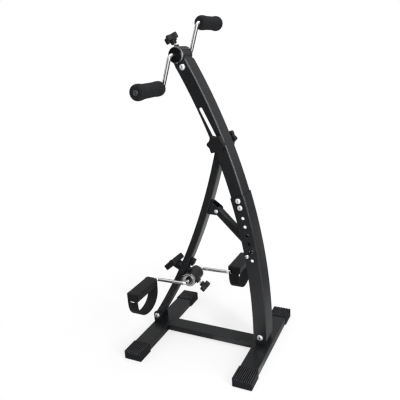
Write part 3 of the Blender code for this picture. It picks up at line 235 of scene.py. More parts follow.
def plastic_look(name="moulded_plastic", tone=1.0, rough=0.42, shine=0.28):
    """Black moulded plastic with a fine spark-eroded grain."""
    look = Look(name, Specular_IOR_Level=shine)
    black = tuple(value * tone for value in (0.0063, 0.0065, 0.0074))
    spot = look.place()
    grain = look.cells(spot, 1500.0)
    wave = look.noise(spot, 30.0, 3.0, 0.55)
    scuff = look.noise(spot, 160.0, 5.0, 0.7).step(0.60, 0.80)
    look.colour(look.blend(scuff * 0.30, black, (0.018, 0.018, 0.019)))
    look.rough(rough + wave * 0.08 + scuff * 0.08)
    look.bump(grain, 0.00006, 0.5)
    return look.material


def rubber_look(name="rubber", tone=1.0, shine=0.22, painted_shade_floor=None):
    """Matt black rubber, slightly chalky, and painted almost black from the height of a groove floor up, as
    shade between the ribs.
    """
    look = Look(name, Specular_IOR_Level=shine)
    dark = tuple(value * tone for value in (0.0067, 0.0069, 0.0079))
    pale = tuple(value * tone for value in (0.0117, 0.0119, 0.0130))
    spot = look.place()
    fine = look.noise(spot, 900.0, 3.0, 0.6)
    bloom = look.noise(spot, 22.0, 4.0, 0.6).step(0.35, 0.8)
    shade = look.blend(bloom, dark, pale)
    if painted_shade_floor is not None:
        # Painted shade: from the groove floor's height up the rubber goes almost black, as shade between the
        # ribs
        shaded = look.part(spot, "Z").step(painted_shade_floor - 0.0006, painted_shade_floor)
        shade = look.blend(shaded, shade, (0.0016, 0.0016, 0.0017))
    look.colour(shade)
    look.rough(0.56 + bloom * 0.12)
    look.bump(fine, 0.00008, 0.6)
    return look.material


def foam_look():
    """Closed-cell foam: small open pits in a matt skin, painted darker in the pits as shade."""
    look = Look("foam", Specular_IOR_Level=0.15)
    spot = look.place()
    cell = look.cells(spot, 1300.0)
    pits_and_pit_shade = look.cells(spot, 620.0).step(0.0, 0.32)
    soft = look.noise(spot, 40.0, 3.0, 0.6)
    # The pits are bumps and are also painted darker, as shade inside them
    shade = look.blend(pits_and_pit_shade, (0.0042, 0.0043, 0.0050), (0.0104, 0.0107, 0.0124))
    look.colour(look.blend(soft.step(0.35, 0.75) * 0.35, shade, (0.0165, 0.0170, 0.0195)))
    look.rough(0.80 + soft * 0.12)
    look.bump(cell, 0.00025, 0.5)
    look.bump(pits_and_pit_shade, 0.0002, 0.4)
    return look.material


def chrome_look():
    """Chrome plate with a faint haze and fine polishing lines."""
    look = Look("chrome", Metallic=1.0)
    spot = look.place()
    haze = look.noise(spot, 45.0, 3.0, 0.6)
    lines = look.noise(look.place((1.0, 40.0, 1.0)), 120.0, 2.0, 0.5)
    look.colour(look.blend(haze.step(0.3, 0.8), (0.80, 0.80, 0.81), (0.66, 0.66, 0.67)))
    look.rough(0.08 + haze * 0.05 + lines * 0.02)
    look.bump(haze, 0.00003, 0.3)
    return look.material


def zinc_look(name="zinc_plate", metal=0.62, rough=0.30, shaded_socket=False):
    """Zinc plate with the soft mottling of a tumbled bolt. The one for foot bolts has its marked socket
    painted dark, as shade in the recess.
    """
    look = Look(name, Metallic=metal)
    spot = look.place()
    mottle = look.noise(spot, 260.0, 3.0, 0.6)
    fine = look.noise(spot, 1500.0, 2.0, 0.5)
    plate = look.blend(mottle.step(0.3, 0.7), (0.80, 0.80, 0.81), (0.62, 0.62, 0.64))
    if shaded_socket:
        # Painted shade: the marked socket goes dark
        plate = look.blend(look.marked("socket"), plate, (0.035, 0.040, 0.046))
    look.colour(plate)
    look.rough(rough + mottle * 0.12 + fine * 0.06)
    look.bump(fine, 0.00003, 0.5)
    return look.material


def brass_look():
    """Dull brass with a soft haze."""
    look = Look("brass", Metallic=1.0)
    haze = look.noise(look.place(), 300.0, 3.0, 0.6)
    look.colour(look.blend(haze, (0.60, 0.42, 0.17), (0.48, 0.33, 0.13)))
    look.rough(0.25 + haze * 0.15)
    return look.material


def display_look():
    """A clear coat over a grey liquid-crystal panel."""
    look = Look("display", Coat_Weight=1.0, Coat_Roughness=0.05)
    fine = look.noise(look.place(), 1200.0, 1.0, 0.5)
    look.colour(look.blend(fine * 0.4, (0.050, 0.056, 0.052), (0.075, 0.083, 0.075)))
    look.rough(0.22 + fine * 0.05)
    return look.material


LOOKS = {
    "steel": steel_look(),
    "plastic": plastic_look(),
    "rubber": rubber_look(),
    "foam": foam_look(),
    "chrome": chrome_look(),
    "brass": brass_look(),
    "display": display_look(),
    "zinc": zinc_look(),
    "foot_bolt": zinc_look("bright_zinc_plate", metal=0.85, rough=0.16, shaded_socket=True),
    # The ribs are the cap's rubber painted several times lighter, as a highlight on them
    "rib": rubber_look("rib_rubber_painted_highlight", tone=5.6, shine=0.14),
    "groove": rubber_look("groove_rubber_painted_shade", tone=1.7, shine=0.05, painted_shade_floor=0.0279),
    "bush": plastic_look("glossy_plastic", tone=0.6, rough=0.30, shine=0.15),
    "plug": plastic_look("plug_plastic", tone=5.0, rough=0.14, shine=0.7),
}


# Pieces
def baked(obj):
    """The object's mesh with its modifiers applied."""
    bpy.context.view_layer.update()
    graph = bpy.context.evaluated_depsgraph_get()
    return bpy.data.meshes.new_from_object(obj.evaluated_get(graph))


def finish_piece(obj, body, node=None, slot=None, look=None):
    """Bakes the modifiers, places the piece at the origin, hangs it on its body and hides the CAD part it
    stands for.
    """
    mesh = baked(obj)
    mesh.transform(obj.matrix_world)
    made = placed(obj.name + "_look", mesh)
    old = obj.data
    bpy.data.objects.remove(obj, do_unlink=True)
    if old.users == 0:
        bpy.data.meshes.remove(old)
    mesh.materials.clear()
    mesh.materials.append(look or LOOKS[slot])
    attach(made, body)
    if node:
        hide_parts(node)
    return made


# The socket's faces lie between these depths in the bolt's near head, within this share of its radius
SOCKET_FROM, SOCKET_TO, SOCKET_SHARE = 0.0004, 0.006, 0.37


def mark_socket(bm):
    """Marks the floor and walls of the hexagon socket in a bolt's near head."""
    socket = bm.faces.layers.float.new("socket")
    xs, ys, zs = [[vert.co[axis] for vert in bm.verts] for axis in range(3)]
    radius = (max(xs) - min(xs)) / 2
    middle = Vector(((max(xs) + min(xs)) / 2, 0.0, (max(zs) + min(zs)) / 2))
    for face in bm.faces:
        spot = face.calc_center_median()
        shaded = spot.y - min(ys)
        spot.y = 0.0
        if SOCKET_FROM < shaded < SOCKET_TO and (spot - middle).length < SOCKET_SHARE * radius:
            face[socket] = 1.0


# The brace's painted highlight strips: their width, and their mark, which is high because the painted
# highlight is only a share of its full strength that far down.
# Its top face leans, so both numbers of its normal are above the limit
BRACE_HIGHLIGHT_WIDTH, BRACE_HIGHLIGHT_MARK, LEANING = 0.0024, 6.0, 0.6


def mark_brace(bm):
    """Marks a narrow strip along both edges of the brace's top face, where a highlight is painted."""
    edge_highlight = bm.faces.layers.float.new("edge_highlight")
    half = max(vert.co.y for vert in bm.verts)
    for side in (-1, 1):
        everything = bm.verts[:] + bm.edges[:] + bm.faces[:]
        line = (0.0, side * (half - BRACE_HIGHLIGHT_WIDTH), 0.0)
        bmesh.ops.bisect_plane(bm, geom=everything, dist=0.000001, plane_co=line, plane_no=(0.0, 1.0, 0.0))
    for face in bm.faces:
        outer = abs(face.calc_center_median().y) > half - BRACE_HIGHLIGHT_WIDTH
        if outer and face.normal.x > LEANING and face.normal.z > LEANING:
            face[edge_highlight] = BRACE_HIGHLIGHT_MARK


# How far a fold's face turns to the side: more than the channel's front and less than its flanks
FRONT, FLANK = 0.15, 0.985


def mark_folds(bm):
    """Marks the narrow faces of a channel's rounded folds, where a highlight is painted."""
    edge_highlight = bm.faces.layers.float.new("edge_highlight")
    for face in bm.faces:
        across = face.normal.y
        if FRONT < abs(across) < FLANK and across * face.calc_center_median().y > 0.0:
            face[edge_highlight] = 1.0


def soften(obj, width, segments, angle=math.radians(30.0), harden=True):
    """Rounds the edges that are sharper than the angle."""
    bevel = obj.modifiers.new("Bevel", "BEVEL")
    bevel.width = width
    bevel.segments = segments
    bevel.limit_method = "ANGLE"
    bevel.angle_limit = angle
    bevel.harden_normals = harden


# What each piece has marked before its edges are rounded
MARKS = {
    "mast_upper": mark_folds,
    "mast_lower": mark_folds,
    "brace": mark_brace,
    "mast_foot_bolt": mark_socket,
    "strut_foot_bolt": mark_socket,
}
# Points closer than this are one, faces closer than this angle are one, and edges beyond that angle are sharp
SAME, FLAT, SHARP = 0.000005, math.radians(0.5), math.radians(38.0)


def refine(node, width, look):
    """The CAD solid's own shape with softened edges and smooth round faces."""
    source = frame["nodes"][node]
    bm = bmesh.new()
    bm.from_mesh(source.data)
    bm.transform(source.matrix_world)
    bmesh.ops.remove_doubles(bm, verts=bm.verts, dist=SAME)
    bmesh.ops.dissolve_limit(
        bm, angle_limit=FLAT, verts=bm.verts, edges=bm.edges, use_dissolve_boundaries=False
    )
    if node in MARKS:
        bm.normal_update()
        MARKS[node](bm)
    for face in bm.faces:
        face.smooth = True
    mesh = bpy.data.meshes.new(node)
    bm.to_mesh(mesh)
    bm.free()
    obj = placed(node, mesh)
    if width:
        soften(obj, width, 2, SHARP, False)
        flat = obj.modifiers.new("Normals", "WEIGHTED_NORMAL")
        flat.mode = "FACE_AREA"
        flat.weight = 100
        flat.keep_sharp = True
    else:
        mesh.set_sharp_from_angle(angle=SHARP)
    finish_piece(obj, BODY_OF[node], node, SLOT_OF[node], look)


def from_bmesh(name, bm, place=Matrix.Identity(4), angle=math.radians(35.0)):
    """An object from the bmesh, smooth but for the edges that are sharper than the angle."""
    bmesh.ops.recalc_face_normals(bm, faces=bm.faces)
    for face in bm.faces:
        face.smooth = True
    mesh = bpy.data.meshes.new(name)
    bm.to_mesh(mesh)
    bm.free()
    mesh.set_sharp_from_angle(angle=angle)
    return placed(name, mesh, place)


def circle(steps):
    """The angles of evenly spaced points round a circle."""
    return [2 * math.pi * k / steps for k in range(steps)]


def lathe(name, place, profile, steps):
    """Turns (radius, height) points, from top to bottom, about the place's Z."""
    bm = bmesh.new()
    rings = []
    for radius, height in profile:
        if radius <= 0.0:
            rings.append([bm.verts.new((0.0, 0.0, height))])
            continue
        rings.append([
            bm.verts.new((radius * math.cos(angle), radius * math.sin(angle), height))
            for angle in circle(steps)
        ])
    if profile[0][0] > 0 and profile[-1][0] > 0:
        rings.append(rings[0])
    for upper, lower in zip(rings, rings[1:]):
        for k in range(steps):
            after = (k + 1) % steps
            if len(upper) == 1:
                bm.faces.new((upper[0], lower[k], lower[after]))
            elif len(lower) == 1:
                bm.faces.new((upper[k], lower[0], upper[after]))
            else:
                bm.faces.new((upper[k], lower[k], lower[after], upper[after]))
    return from_bmesh(name, bm, place)


def between(before, start, end, after, t):
    """The value of a Catmull-Rom curve at t between start and end."""
    return 0.5 * (
        2 * start + (end - before) * t + (2 * before - 5 * start + 4 * end - after) * t * t
        + (3 * start - before - 3 * end + after) * t ** 3
    )


def eased(points, steps=5):
    """A Catmull-Rom curve through (a, b) points."""
    ends = [points[0]] + list(points) + [points[-1]]
    out = []
    for four in zip(ends, ends[1:], ends[2:], ends[3:]):
        for k in range(steps):
            out.append(tuple(between(*values, k / steps) for values in zip(*four)))
    return out + [tuple(points[-1])]


def loft(name, sections, place=Matrix.Identity(4)):
    """A skin over closed sections, each a list of points in the same order, with flat ends."""
    bm = bmesh.new()
    rings = [[bm.verts.new(point) for point in section] for section in sections]
    for one, two in zip(rings, rings[1:]):
        for k in range(len(one)):
            after = (k + 1) % len(one)
            bm.faces.new((one[k], one[after], two[after], two[k]))
    bm.faces.new(rings[0])
    bm.faces.new(rings[-1])
    return from_bmesh(name, bm, place)


# A rod's ends are rounded over this length, down to this share of its radius
END_LENGTH, END_SHARE = 0.0012, 0.86


def tube_along(name, path, radius, steps=28):
    """A round rod along points, with rounded ends."""
    ahead = [(b - a).normalized() for a, b in zip(path, path[1:])]
    ahead.append(ahead[-1])
    side = Vector((1, 0, 0)) if abs(ahead[0].x) < 0.5 else Vector((0, 0, 1))
    sections = []
    last = len(path) - 1
    for i, here in enumerate(path):
        way = (ahead[max(i - 1, 0)] + ahead[i]).normalized()
        side = (side - way * side.dot(way)).normalized()
        other = way.cross(side)
        rings = [(0.0, radius)]
        if i == 0:
            rings = [(0.0, radius * END_SHARE), (END_LENGTH, radius)]
        if i == last:
            rings = [(-END_LENGTH, radius), (0.0, radius * END_SHARE)]
        for shift, size in rings:
            sections.append([
                here + way * shift + (side * math.cos(angle) + other * math.sin(angle)) * size
                for angle in circle(steps)
            ])
    return loft(name, sections)


def cutter(name, radius, low, high, place):
    """A cylinder from low to high along the place's Z, for cutting."""
    bm = bmesh.new()
    bmesh.ops.create_cone(
        bm, cap_ends=True, segments=48, radius1=radius, radius2=radius, depth=high - low,
        matrix=Matrix.Translation((0, 0, (low + high) / 2)),
    )
    return from_bmesh(name, bm, place)


def carve(obj, tool):
    """Cuts the tool out of obj and removes it."""
    cut = obj.modifiers.new("Cut", "BOOLEAN")
    cut.operation = "DIFFERENCE"
    cut.solver = "EXACT"
    cut.object = tool
    mesh = baked(obj)
    obj.modifiers.clear()
    obj.data = mesh
    bpy.data.objects.remove(tool, do_unlink=True)


def repeated(obj, count, offset, look):
    """Geometry nodes that repeat obj's mesh count times along offset, all with one look."""
    group = bpy.data.node_groups.new("repeat_" + obj.name, "GeometryNodeTree")
    outside = group.interface
    outside.new_socket("Geometry", in_out="INPUT", socket_type="NodeSocketGeometry")
    sockets = {}
    for label, kind in (("Count", "NodeSocketInt"), ("Offset", "NodeSocketVector")):
        sockets[label] = outside.new_socket(label, in_out="INPUT", socket_type=kind)
    outside.new_socket("Geometry", in_out="OUTPUT", socket_type="NodeSocketGeometry")
    add, link = group.nodes.new, group.links.new
    start, end = add("NodeGroupInput"), add("NodeGroupOutput")
    line, copies = add("GeometryNodeMeshLine"), add("GeometryNodeInstanceOnPoints")
    real, finish = add("GeometryNodeRealizeInstances"), add("GeometryNodeSetMaterial")
    finish.inputs["Material"].default_value = look
    link(start.outputs["Count"], line.inputs["Count"])
    link(start.outputs["Offset"], line.inputs["Offset"])
    link(line.outputs["Mesh"], copies.inputs["Points"])
    link(start.outputs["Geometry"], copies.inputs["Instance"])
    link(copies.outputs["Instances"], real.inputs["Geometry"])
    link(real.outputs["Geometry"], finish.inputs["Geometry"])
    link(finish.outputs["Geometry"], end.inputs["Geometry"])
    repeat = obj.modifiers.new("Repeat", "NODES")
    repeat.node_group = group
    repeat[sockets["Count"].identifier] = count
    repeat[sockets["Offset"].identifier] = offset


# A way is -1 for the near side and 1 for the far side
TURN_OF = {-1: Matrix.Rotation(math.radians(90), 4, "X"), 1: Matrix.Rotation(math.radians(-90), 4, "X")}


def axle(spot, way):
    """A place on the spot's line across the bike, with Z to the near or the far side."""
    return Matrix.Translation((spot.x, 0, spot.z)) @ TURN_OF[way]


# Crank rods
ROD = 0.0055
UPPER_HUB, LOWER_HUB = (-0.04690, 0.88263), (-0.05584, 0.20982)
BEND_STEPS = 16


def crank(name, centre, reach, degrees, offset, bend, end):
    """A bent rod through the hub's centre. Its arms stand offset to the sides, and its ends lie at end."""
    angle = math.radians(degrees)
    x, z = reach * math.cos(angle), reach * math.sin(angle)
    corners = [Vector(corner) for corner in (
        (centre[0] + x, -end, centre[1] + z), (centre[0] + x, -offset, centre[1] + z),
        (centre[0], -offset, centre[1]), (centre[0], offset, centre[1]),
        (centre[0] - x, offset, centre[1] - z), (centre[0] - x, end, centre[1] - z),
    )]
    path = [corners[0]]
    for before, here, after in zip(corners, corners[1:], corners[2:]):
        back, forth = (before - here).normalized(), (after - here).normalized()
        middle = here + (back + forth) * bend
        for k in range(BEND_STEPS + 1):
            turn = math.pi / 2 * k / BEND_STEPS
            path.append(middle - forth * bend * math.cos(turn) - back * bend * math.sin(turn))
    path.append(corners[-1])
    finish_piece(tube_along(name, path, ROD), name, name, "chrome")
    return corners[0], corners[-1]


upper_ends = crank(
    "upper_crank", UPPER_HUB, reach=0.087, degrees=251.5, offset=0.062, bend=0.013, end=0.2015
)
lower_ends = crank(
    "lower_crank", LOWER_HUB, reach=0.102, degrees=181.0, offset=0.056, bend=0.010, end=0.1720
)


# Foam grips and the caps on their rods' ends
GRIP_IN, GRIP_OUT = 0.0755, 0.2010
# Radii of the grip: its outer bulb, inner bulb, waist and hole, and where its outer end starts to bulge
OUTER, INNER, WAIST, HOLE, LIP = 0.0213, 0.0203, 0.0192, 0.0060, 0.0085
# How far the flat ring round the hole lies inside the outer end
SUNK = 0.0008
# Points of the grip's outline: the share of its length from the outer end, and the radius
GRIP_OUTLINE = [
    (0.0, 0.0118), (0.004, 0.0148), (0.018, OUTER * 0.87), (0.045, OUTER * 0.965), (0.09, OUTER),
    (0.15, OUTER * 0.99), (0.20, OUTER * 0.955), (0.24, WAIST * 1.015), (0.29, WAIST),
    (0.5, WAIST * 0.995), (0.70, WAIST), (0.745, WAIST * 1.01), (0.785, INNER * 0.985),
    (0.84, INNER), (0.91, INNER * 0.99), (0.955, INNER * 0.92), (0.985, INNER * 0.79),
    (0.998, INNER * 0.64), (1.0, 0.0115),
]
# Points of the rod cap's outline: the radius, and the distance from the bike's middle
CAP_OUTLINE = [
    (0.0, 0.2023), (0.0023, 0.2023), (0.0029, 0.2018), (0.0036, 0.2018), (0.0042, 0.2024), (0.0056, 0.2024),
    (0.0064, 0.2019), (0.0070, 0.2012), (0.0070, 0.2005), (0.0058, 0.2005), (0.0058, 0.2017), (0.0, 0.2017),
]


def foam_grip(side, spot, way):
    """A foam grip with its rod's cap."""
    shape = [(HOLE, GRIP_OUT - SUNK), (LIP, GRIP_OUT - SUNK)]
    shape += [(radius, GRIP_OUT - (GRIP_OUT - GRIP_IN) * share) for share, radius in eased(GRIP_OUTLINE)]
    shape.append((HOLE, GRIP_IN))
    grip = lathe("grip_" + side, axle(spot, way), shape, 96)
    made = finish_piece(grip, "grip_" + side, "upper_grip_" + side, "foam")
    cap = lathe("rod_cap_" + side, axle(spot, way), CAP_OUTLINE, 48)
    finish_piece(cap, "upper_crank", None, "plastic", LOOKS["plug"])


foam_grip("near", upper_ends[0], -1)
foam_grip("far", upper_ends[1], 1)


# Pedals
PEDAL_IN, PEDAL_OUT = 0.0655, 0.1765
BORE_PLAY, BORE_START, BORE_END = 0.0005, PEDAL_IN - 0.02, 0.1724
# How far a pedal's middle lies off its rod, along and up
SHIFT_X, SHIFT_Z = 0.012, 0.004
# Sections of the pedal by their distance from its end: half width, half height, dip and corner radius
PEDAL_SECTIONS = [
    (0.0, 0.0192, 0.0117, 0.0, 0.0024), (0.0008, 0.0200, 0.0125, 0.0, 0.0030),
    (0.0050, 0.0200, 0.0125, 0.0, 0.0030), (0.0075, 0.0200, 0.0121, 0.0020, 0.0030),
    (0.0140, 0.0200, 0.0119, 0.0023, 0.0030),
]


def pedal_place(spot, way):
    """The middle of a pedal, which lies a little off its rod."""
    return Matrix.Translation((spot.x + way * SHIFT_X, 0, spot.z + way * SHIFT_Z))


def pedal_section(y, half, tall, dip, corner):
    """A rounded rectangle in the XZ plane whose top and bottom dip in the middle."""
    points = []
    for sx, sz, first in ((1, 1, 0), (-1, 1, 90), (-1, -1, 180), (1, -1, 270)):
        for k in range(5):
            angle = math.radians(first + 90 * k / 4)
            x = sx * (half - corner) + corner * math.cos(angle)
            z = sz * (tall - corner) + corner * math.sin(angle)
            points.append((x, y, z))
        if sx == sz:
            for k in range(1, 8):
                t = k / 8
                fall = dip * math.sin(math.pi * t) ** 0.6
                x = sx * (half - corner) * (1 - 2 * t)
                points.append((x, y, sz * (tall - fall)))
    return points


def pedal(side, spot, way):
    """A pedal with a smooth dish on top and below, bored for its rod."""
    length = PEDAL_OUT - PEDAL_IN
    rows = PEDAL_SECTIONS + [(length - row[0], *row[1:]) for row in reversed(PEDAL_SECTIONS)]
    sections = [pedal_section(way * (PEDAL_IN + row[0]), *row[1:]) for row in rows]
    obj = loft("pedal_" + side, sections, pedal_place(spot, way))
    carve(obj, cutter("bore", ROD + BORE_PLAY, BORE_START, BORE_END, axle(spot, way)))
    finish_piece(obj, "pedal_" + side, "pedal_" + side, "plastic")


# Straps. The near one has a slot in its outer leg just under the pedal: a few faces of one row are left out
STRAP_THICK, STRAP_GAP, STRAP_DEEP = 0.0015, 0.0003, 0.065
STRAP_TOP, STRAP_PLAY = 0.0115, 0.0031
PEDAL_BOTTOM, SHOULDER_DROP = -0.0125, 0.004
LOOP_STEPS = 60
ACROSS = [-0.017, -0.0155, -0.0090, -0.0035, 0.0015, 0.0065, 0.0115, 0.0155, 0.017]
SLOT_ROW, SLOT_COLUMNS = 64, (2, 3, 4)


def strap(side, spot, way):
    """A strap round the pedal's ends and in a loop below it."""
    inner, outer = PEDAL_IN - STRAP_GAP - STRAP_THICK, PEDAL_OUT + STRAP_GAP + STRAP_THICK
    shoulder = PEDAL_BOTTOM - SHOULDER_DROP
    shaded = STRAP_DEEP - STRAP_THICK - SHOULDER_DROP
    centre, reach = (inner + outer) / 2, (outer - inner) / 2
    line = [(inner, z) for z in (STRAP_TOP, 0.004, -0.004, PEDAL_BOTTOM)]
    for k in range(LOOP_STEPS + 1):
        angle = math.pi * k / LOOP_STEPS
        line.append((centre - reach * math.cos(angle), shoulder - shaded * math.sin(angle) ** 0.8))
    line += [(outer, z) for z in (PEDAL_BOTTOM, -0.004, 0.004, STRAP_TOP)]
    bm = bmesh.new()
    grid = [[bm.verts.new((-way * x, way * y, z)) for x in ACROSS] for y, z in line]
    for i in range(len(line) - 1):
        for j in range(len(ACROSS) - 1):
            if side == "near" and i == SLOT_ROW and j in SLOT_COLUMNS:
                continue
            bm.faces.new((grid[i][j], grid[i + 1][j], grid[i + 1][j + 1], grid[i][j + 1]))
    obj = from_bmesh("strap_" + side, bm, pedal_place(spot, way), math.radians(60.0))
    shell = obj.modifiers.new("Thickness", "SOLIDIFY")
    shell.thickness = 2 * STRAP_THICK
    shell.offset = 0.0
    shell.use_even_offset = True
    carve(obj, cutter("room", ROD + STRAP_PLAY, 0.0, PEDAL_IN, axle(spot, way)))
    soften(obj, 0.0007, 2, math.radians(40.0))
    finish_piece(obj, "pedal_" + side, "pedal_strap_" + side, "rubber")


for side, spot, way in (("near", lower_ends[0], -1), ("far", lower_ends[1], 1)):
    pedal(side, spot, way)
    strap(side, spot, way)


# End caps, ribbed along the top and over the outer end's upper edge, with a painted highlight on the ribs and
# painted shade between them
CAP_HALF, CAP_TALL, CAP_OUT, CAP_IN, CAP_ROUND = 0.02925, 0.0290, 0.2025, 0.1425, 0.0022
ROOM_HALF, ROOM_LOW, ROOM_HIGH, ROOM_OUT, ROOM_IN = 0.027, 0.0022, 0.0265, CAP_OUT - 0.004, CAP_IN - 0.01
RIB_TALL, RIB_HALF, RIB_COUNT, RIB_PITCH = 0.0010, 0.0010, 10, 0.0056
RIB_ROOT, RIB_FOOT = CAP_TALL - 0.0018, CAP_TALL - 0.0065
RIB_START, RIB_BACK = CAP_IN + 0.0030, CAP_OUT - 0.0026


def block(bm, low, high):
    """Adds a box between two corners."""
    low, high = Vector(low), Vector(high)
    middle = Matrix.Translation((low + high) / 2) @ Matrix.Diagonal((*(high - low), 1.0))
    bmesh.ops.create_cube(bm, size=1.0, matrix=middle)


def end_cap(name, x, way):
    """A hollow cap with its ribs as a piece of their own."""
    place = Matrix.Translation((x, 0, 0)) @ Matrix.Rotation(0.0 if way > 0 else math.pi, 4, "Z")
    bm = bmesh.new()
    block(bm, (-CAP_HALF, CAP_IN, 0.0), (CAP_HALF, CAP_OUT - RIB_TALL * 0.6, CAP_TALL - RIB_TALL))
    body = from_bmesh(name, bm, place)
    soften(body, CAP_ROUND, 3)
    bm = bmesh.new()
    block(bm, (-ROOM_HALF, ROOM_IN, ROOM_LOW), (ROOM_HALF, ROOM_OUT, ROOM_HIGH))
    carve(body, from_bmesh("inside", bm, place))
    bm = bmesh.new()
    block(bm, (-RIB_HALF, RIB_START, RIB_ROOT), (RIB_HALF, CAP_OUT, CAP_TALL))
    block(bm, (-RIB_HALF, RIB_BACK, RIB_FOOT), (RIB_HALF, CAP_OUT, RIB_ROOT))
    bmesh.ops.remove_doubles(bm, verts=bm.verts, dist=0.00001)
    bmesh.ops.translate(bm, verts=bm.verts, vec=(-(RIB_COUNT - 1) / 2 * RIB_PITCH, 0, 0))
    ribs = from_bmesh(name + "_ribs", bm, place)
    soften(ribs, 0.0005, 2)
    repeated(ribs, RIB_COUNT, (RIB_PITCH, 0.0, 0.0), LOOKS["rib"])
    finish_piece(body, "base", name, "rubber", LOOKS["groove"])
    finish_piece(ribs, "base", None, "rubber", LOOKS["rib"])


for end, x in (("rear", -0.177), ("front", 0.177)):
    for side, way in (("near", -1), ("far", 1)):
        end_cap("end_cap_" + end + "_" + side, x, way)


# Threads on the tension screws
THREAD_OUTLINE = [(0.0028, 0.0281), (0.00318, 0.0278), (0.0028, 0.0275)]
THREAD_COUNT, THREAD_PITCH = 6, 0.001


def threads(name, centre, degrees):
    """A few ridges round a screw that stands out from the hub's centre at the angle."""
    lean = Matrix.Rotation(math.radians(90 - degrees), 4, "Y")
    place = Matrix.Translation((centre[0], 0, centre[1])) @ lean
    ridge = lathe(name, place, THREAD_OUTLINE, 40)
    repeated(ridge, THREAD_COUNT, (0.0, 0.0, THREAD_PITCH), LOOKS["chrome"])
    finish_piece(ridge, name.replace("thread", "knob"), None, "chrome")


threads("upper_thread", UPPER_HUB, degrees=119.28)
threads("lower_thread", LOWER_HUB, degrees=-36.9)


# The other pieces keep their CAD shapes
REDRAWN = {"upper_crank", "lower_crank", "upper_grip_near", "upper_grip_far"}
REDRAWN |= {start + side for start in ("pedal_", "pedal_strap_") for side in ("near", "far")}
REDRAWN |= {start + side for start in ("end_cap_rear_", "end_cap_front_") for side in ("near", "far")}
EDGE = 0.0005


def look_of(name):
    """Bolts and bushes have looks of their own within their slots."""
    for kind, look in (("foot_bolt", "foot_bolt"), ("bolt", "zinc"), ("bush", "bush")):
        if kind in name:
            return LOOKS[look]
    return LOOKS[SLOT_OF[name]]


for name in sorted(set(frame["nodes"]) - REDRAWN):
    thin = SLOT_OF[name] in ("chrome", "brass") or "bush" in name or "washer" in name
    refine(name, 0.0 if thin else EDGE, look_of(name))


# Studio: in reflections, white cards on dark. A card has its direction across the floor, the cosines of the
# angles from it where it starts and where it is full, and its brightness
FRONT_CARDS = (
    (0.60, -0.80, 0.72, 0.93, 1.0),
    (-0.98, 0.20, 0.75, 0.95, 0.12),
    (-0.43, -0.90, 0.5, 0.9, 0.12),
)
BACK_CARDS = ((-0.43, 0.90, 0.4, 0.95, 0.24), (0.55, 0.83, 0.4, 0.95, 0.42))
DARK = 0.025
FLOOR_SHARE = 0.25


def mirrored(look, spot, share):
    """A reflection's brightness by its direction, with a share of the back cards', and its distance."""
    x, y = look.part(spot, "X"), look.part(spot, "Y")
    away = (x * x + y * y + 0.0001) ** 0.5
    bright = None
    for cards, part in ((FRONT_CARDS, 1.0), (BACK_CARDS, share)):
        for to_x, to_y, start, full, power in cards:
            card = ((x * to_x + y * to_y) / away).step(start, full) * (power * part)
            bright = bright.high(card) if bright else card
    return DARK + bright * (1.0 - DARK), away


def backdrop():
    """White to the camera, white cards on dark in reflections, and faintly shaded near the object's feet."""
    look = Look("studio_floor", Specular_IOR_Level=0.0)
    spot = look.place()
    grain = look.noise(spot, 6.0, 2.0, 0.5)
    look.colour(look.blend(grain, (0.90, 0.90, 0.90), (0.92, 0.92, 0.92)))
    look.rough(0.9 + grain * 0.05)
    cards, away = mirrored(look, spot, FLOOR_SHARE)
    paths = look.tree.nodes.new("ShaderNodeLightPath")
    direct, glossy, through = [
        Sock(look, paths.outputs["Is %s Ray" % kind]) for kind in ("Camera", "Glossy", "Transmission")
    ]
    near = (1.0 - away.step(0.3, 1.1)) * 0.20
    straight_back = (look.part(spot, "Y") / away).step(0.84, 0.97)
    sheet = straight_back * away.step(0.30, 0.50) * (1.0 - away.step(1.4, 2.0))
    white = look.tree.nodes.new("ShaderNodeEmission")
    look.put(white.inputs["Strength"], direct.high(through).high(cards.high(near).high(sheet)))
    mix = look.tree.nodes.new("ShaderNodeMixShader")
    look.put(mix.inputs[0], direct.high(glossy).high(through) * (0.70 + away.step(0.30, 0.75) * 0.30))
    look.tree.links.new(look.shader.outputs[0], mix.inputs[1])
    look.tree.links.new(white.outputs[0], mix.inputs[2])
    look.tree.links.new(mix.outputs[0], look.tree.nodes["Material Output"].inputs["Surface"])
    return look.material


# The floor lies just under the caps
FLOOR_HALF, FLOOR_HEIGHT = 14.0, -0.0004
bm = bmesh.new()
bmesh.ops.create_grid(bm, x_segments=4, y_segments=4, size=FLOOR_HALF)
floor = from_bmesh("floor", bm, Matrix.Translation((0.0, 0.0, FLOOR_HEIGHT)))
floor.data.materials.append(backdrop())


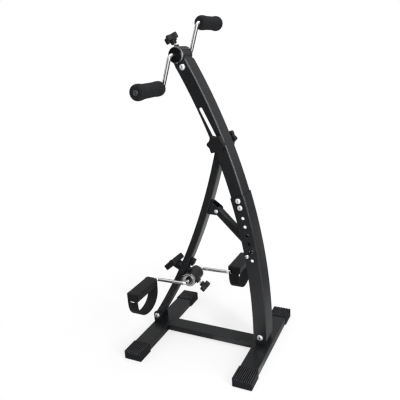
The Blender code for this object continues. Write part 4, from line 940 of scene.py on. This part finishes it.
def panel(name, spot, aim, size, power):
    """A softbox at the spot that faces the aim."""
    data = bpy.data.lights.new(name, "AREA")
    data.shape = "RECTANGLE"
    data.size, data.size_y = size
    data.energy = power
    obj = placed(name, data)
    obj.location = spot
    way = Vector(aim) - Vector(spot)
    obj.rotation_euler = way.to_track_quat("-Z", "Y").to_euler()


panel("top_softbox", (0.3, 0.1, 2.6), aim=(0, 0, 0.3), size=(1.6, 1.6), power=30.0)
panel("right_strip", (1.90, -1.15, 0.95), aim=(0.05, 0, 0.6), size=(0.32, 1.8), power=46.0)
panel("left_fill", (-2.4, -0.9, 1.2), aim=(0, 0, 0.4), size=(0.6, 1.8), power=10.0)

# The world: soft light on everything, cards and a bright ceiling in reflections, white to the camera
SOFT_LIGHT, CEILING = 0.50, 0.9
world = bpy.data.worlds.new("studio")
bpy.context.scene.world = world
sky = Sky(world)
ways = sky.node("TexCoord", "Generated")
cards, _ = mirrored(sky, ways, 1.0)
around = cards.high(sky.part(ways, "Z").step(0.35, 0.75) * CEILING)
paths, out = sky.tree.nodes.new("ShaderNodeLightPath"), sky.tree.nodes.new("ShaderNodeOutputWorld")
soft, reflected, plain = [sky.tree.nodes.new("ShaderNodeBackground") for _ in range(3)]
for shade, strength in ((soft, SOFT_LIGHT), (reflected, around), (plain, 1.0)):
    shade.inputs["Color"].default_value = (1.0, 1.0, 1.0, 1.0)
    sky.put(shade.inputs["Strength"], strength)
under = soft
for kind, over in (("Glossy", reflected), ("Transmission", plain), ("Camera", plain)):
    mix = sky.tree.nodes.new("ShaderNodeMixShader")
    sky.tree.links.new(paths.outputs["Is %s Ray" % kind], mix.inputs[0])
    sky.tree.links.new(under.outputs[0], mix.inputs[1])
    sky.tree.links.new(over.outputs[0], mix.inputs[2])
    under = mix
sky.tree.links.new(under.outputs[0], out.inputs["Surface"])

bpy.context.scene.view_settings.view_transform = "Standard"
# Without the first two, the lamps' reflections in thin chrome rods would break up into dots. The last is the
# pixel filter's width, for the photograph's sharpness
cycles = bpy.context.scene.cycles
cycles.caustics_reflective = False
cycles.sample_clamp_direct = cycles.sample_clamp_indirect = 1.6
cycles.filter_width = 1.3
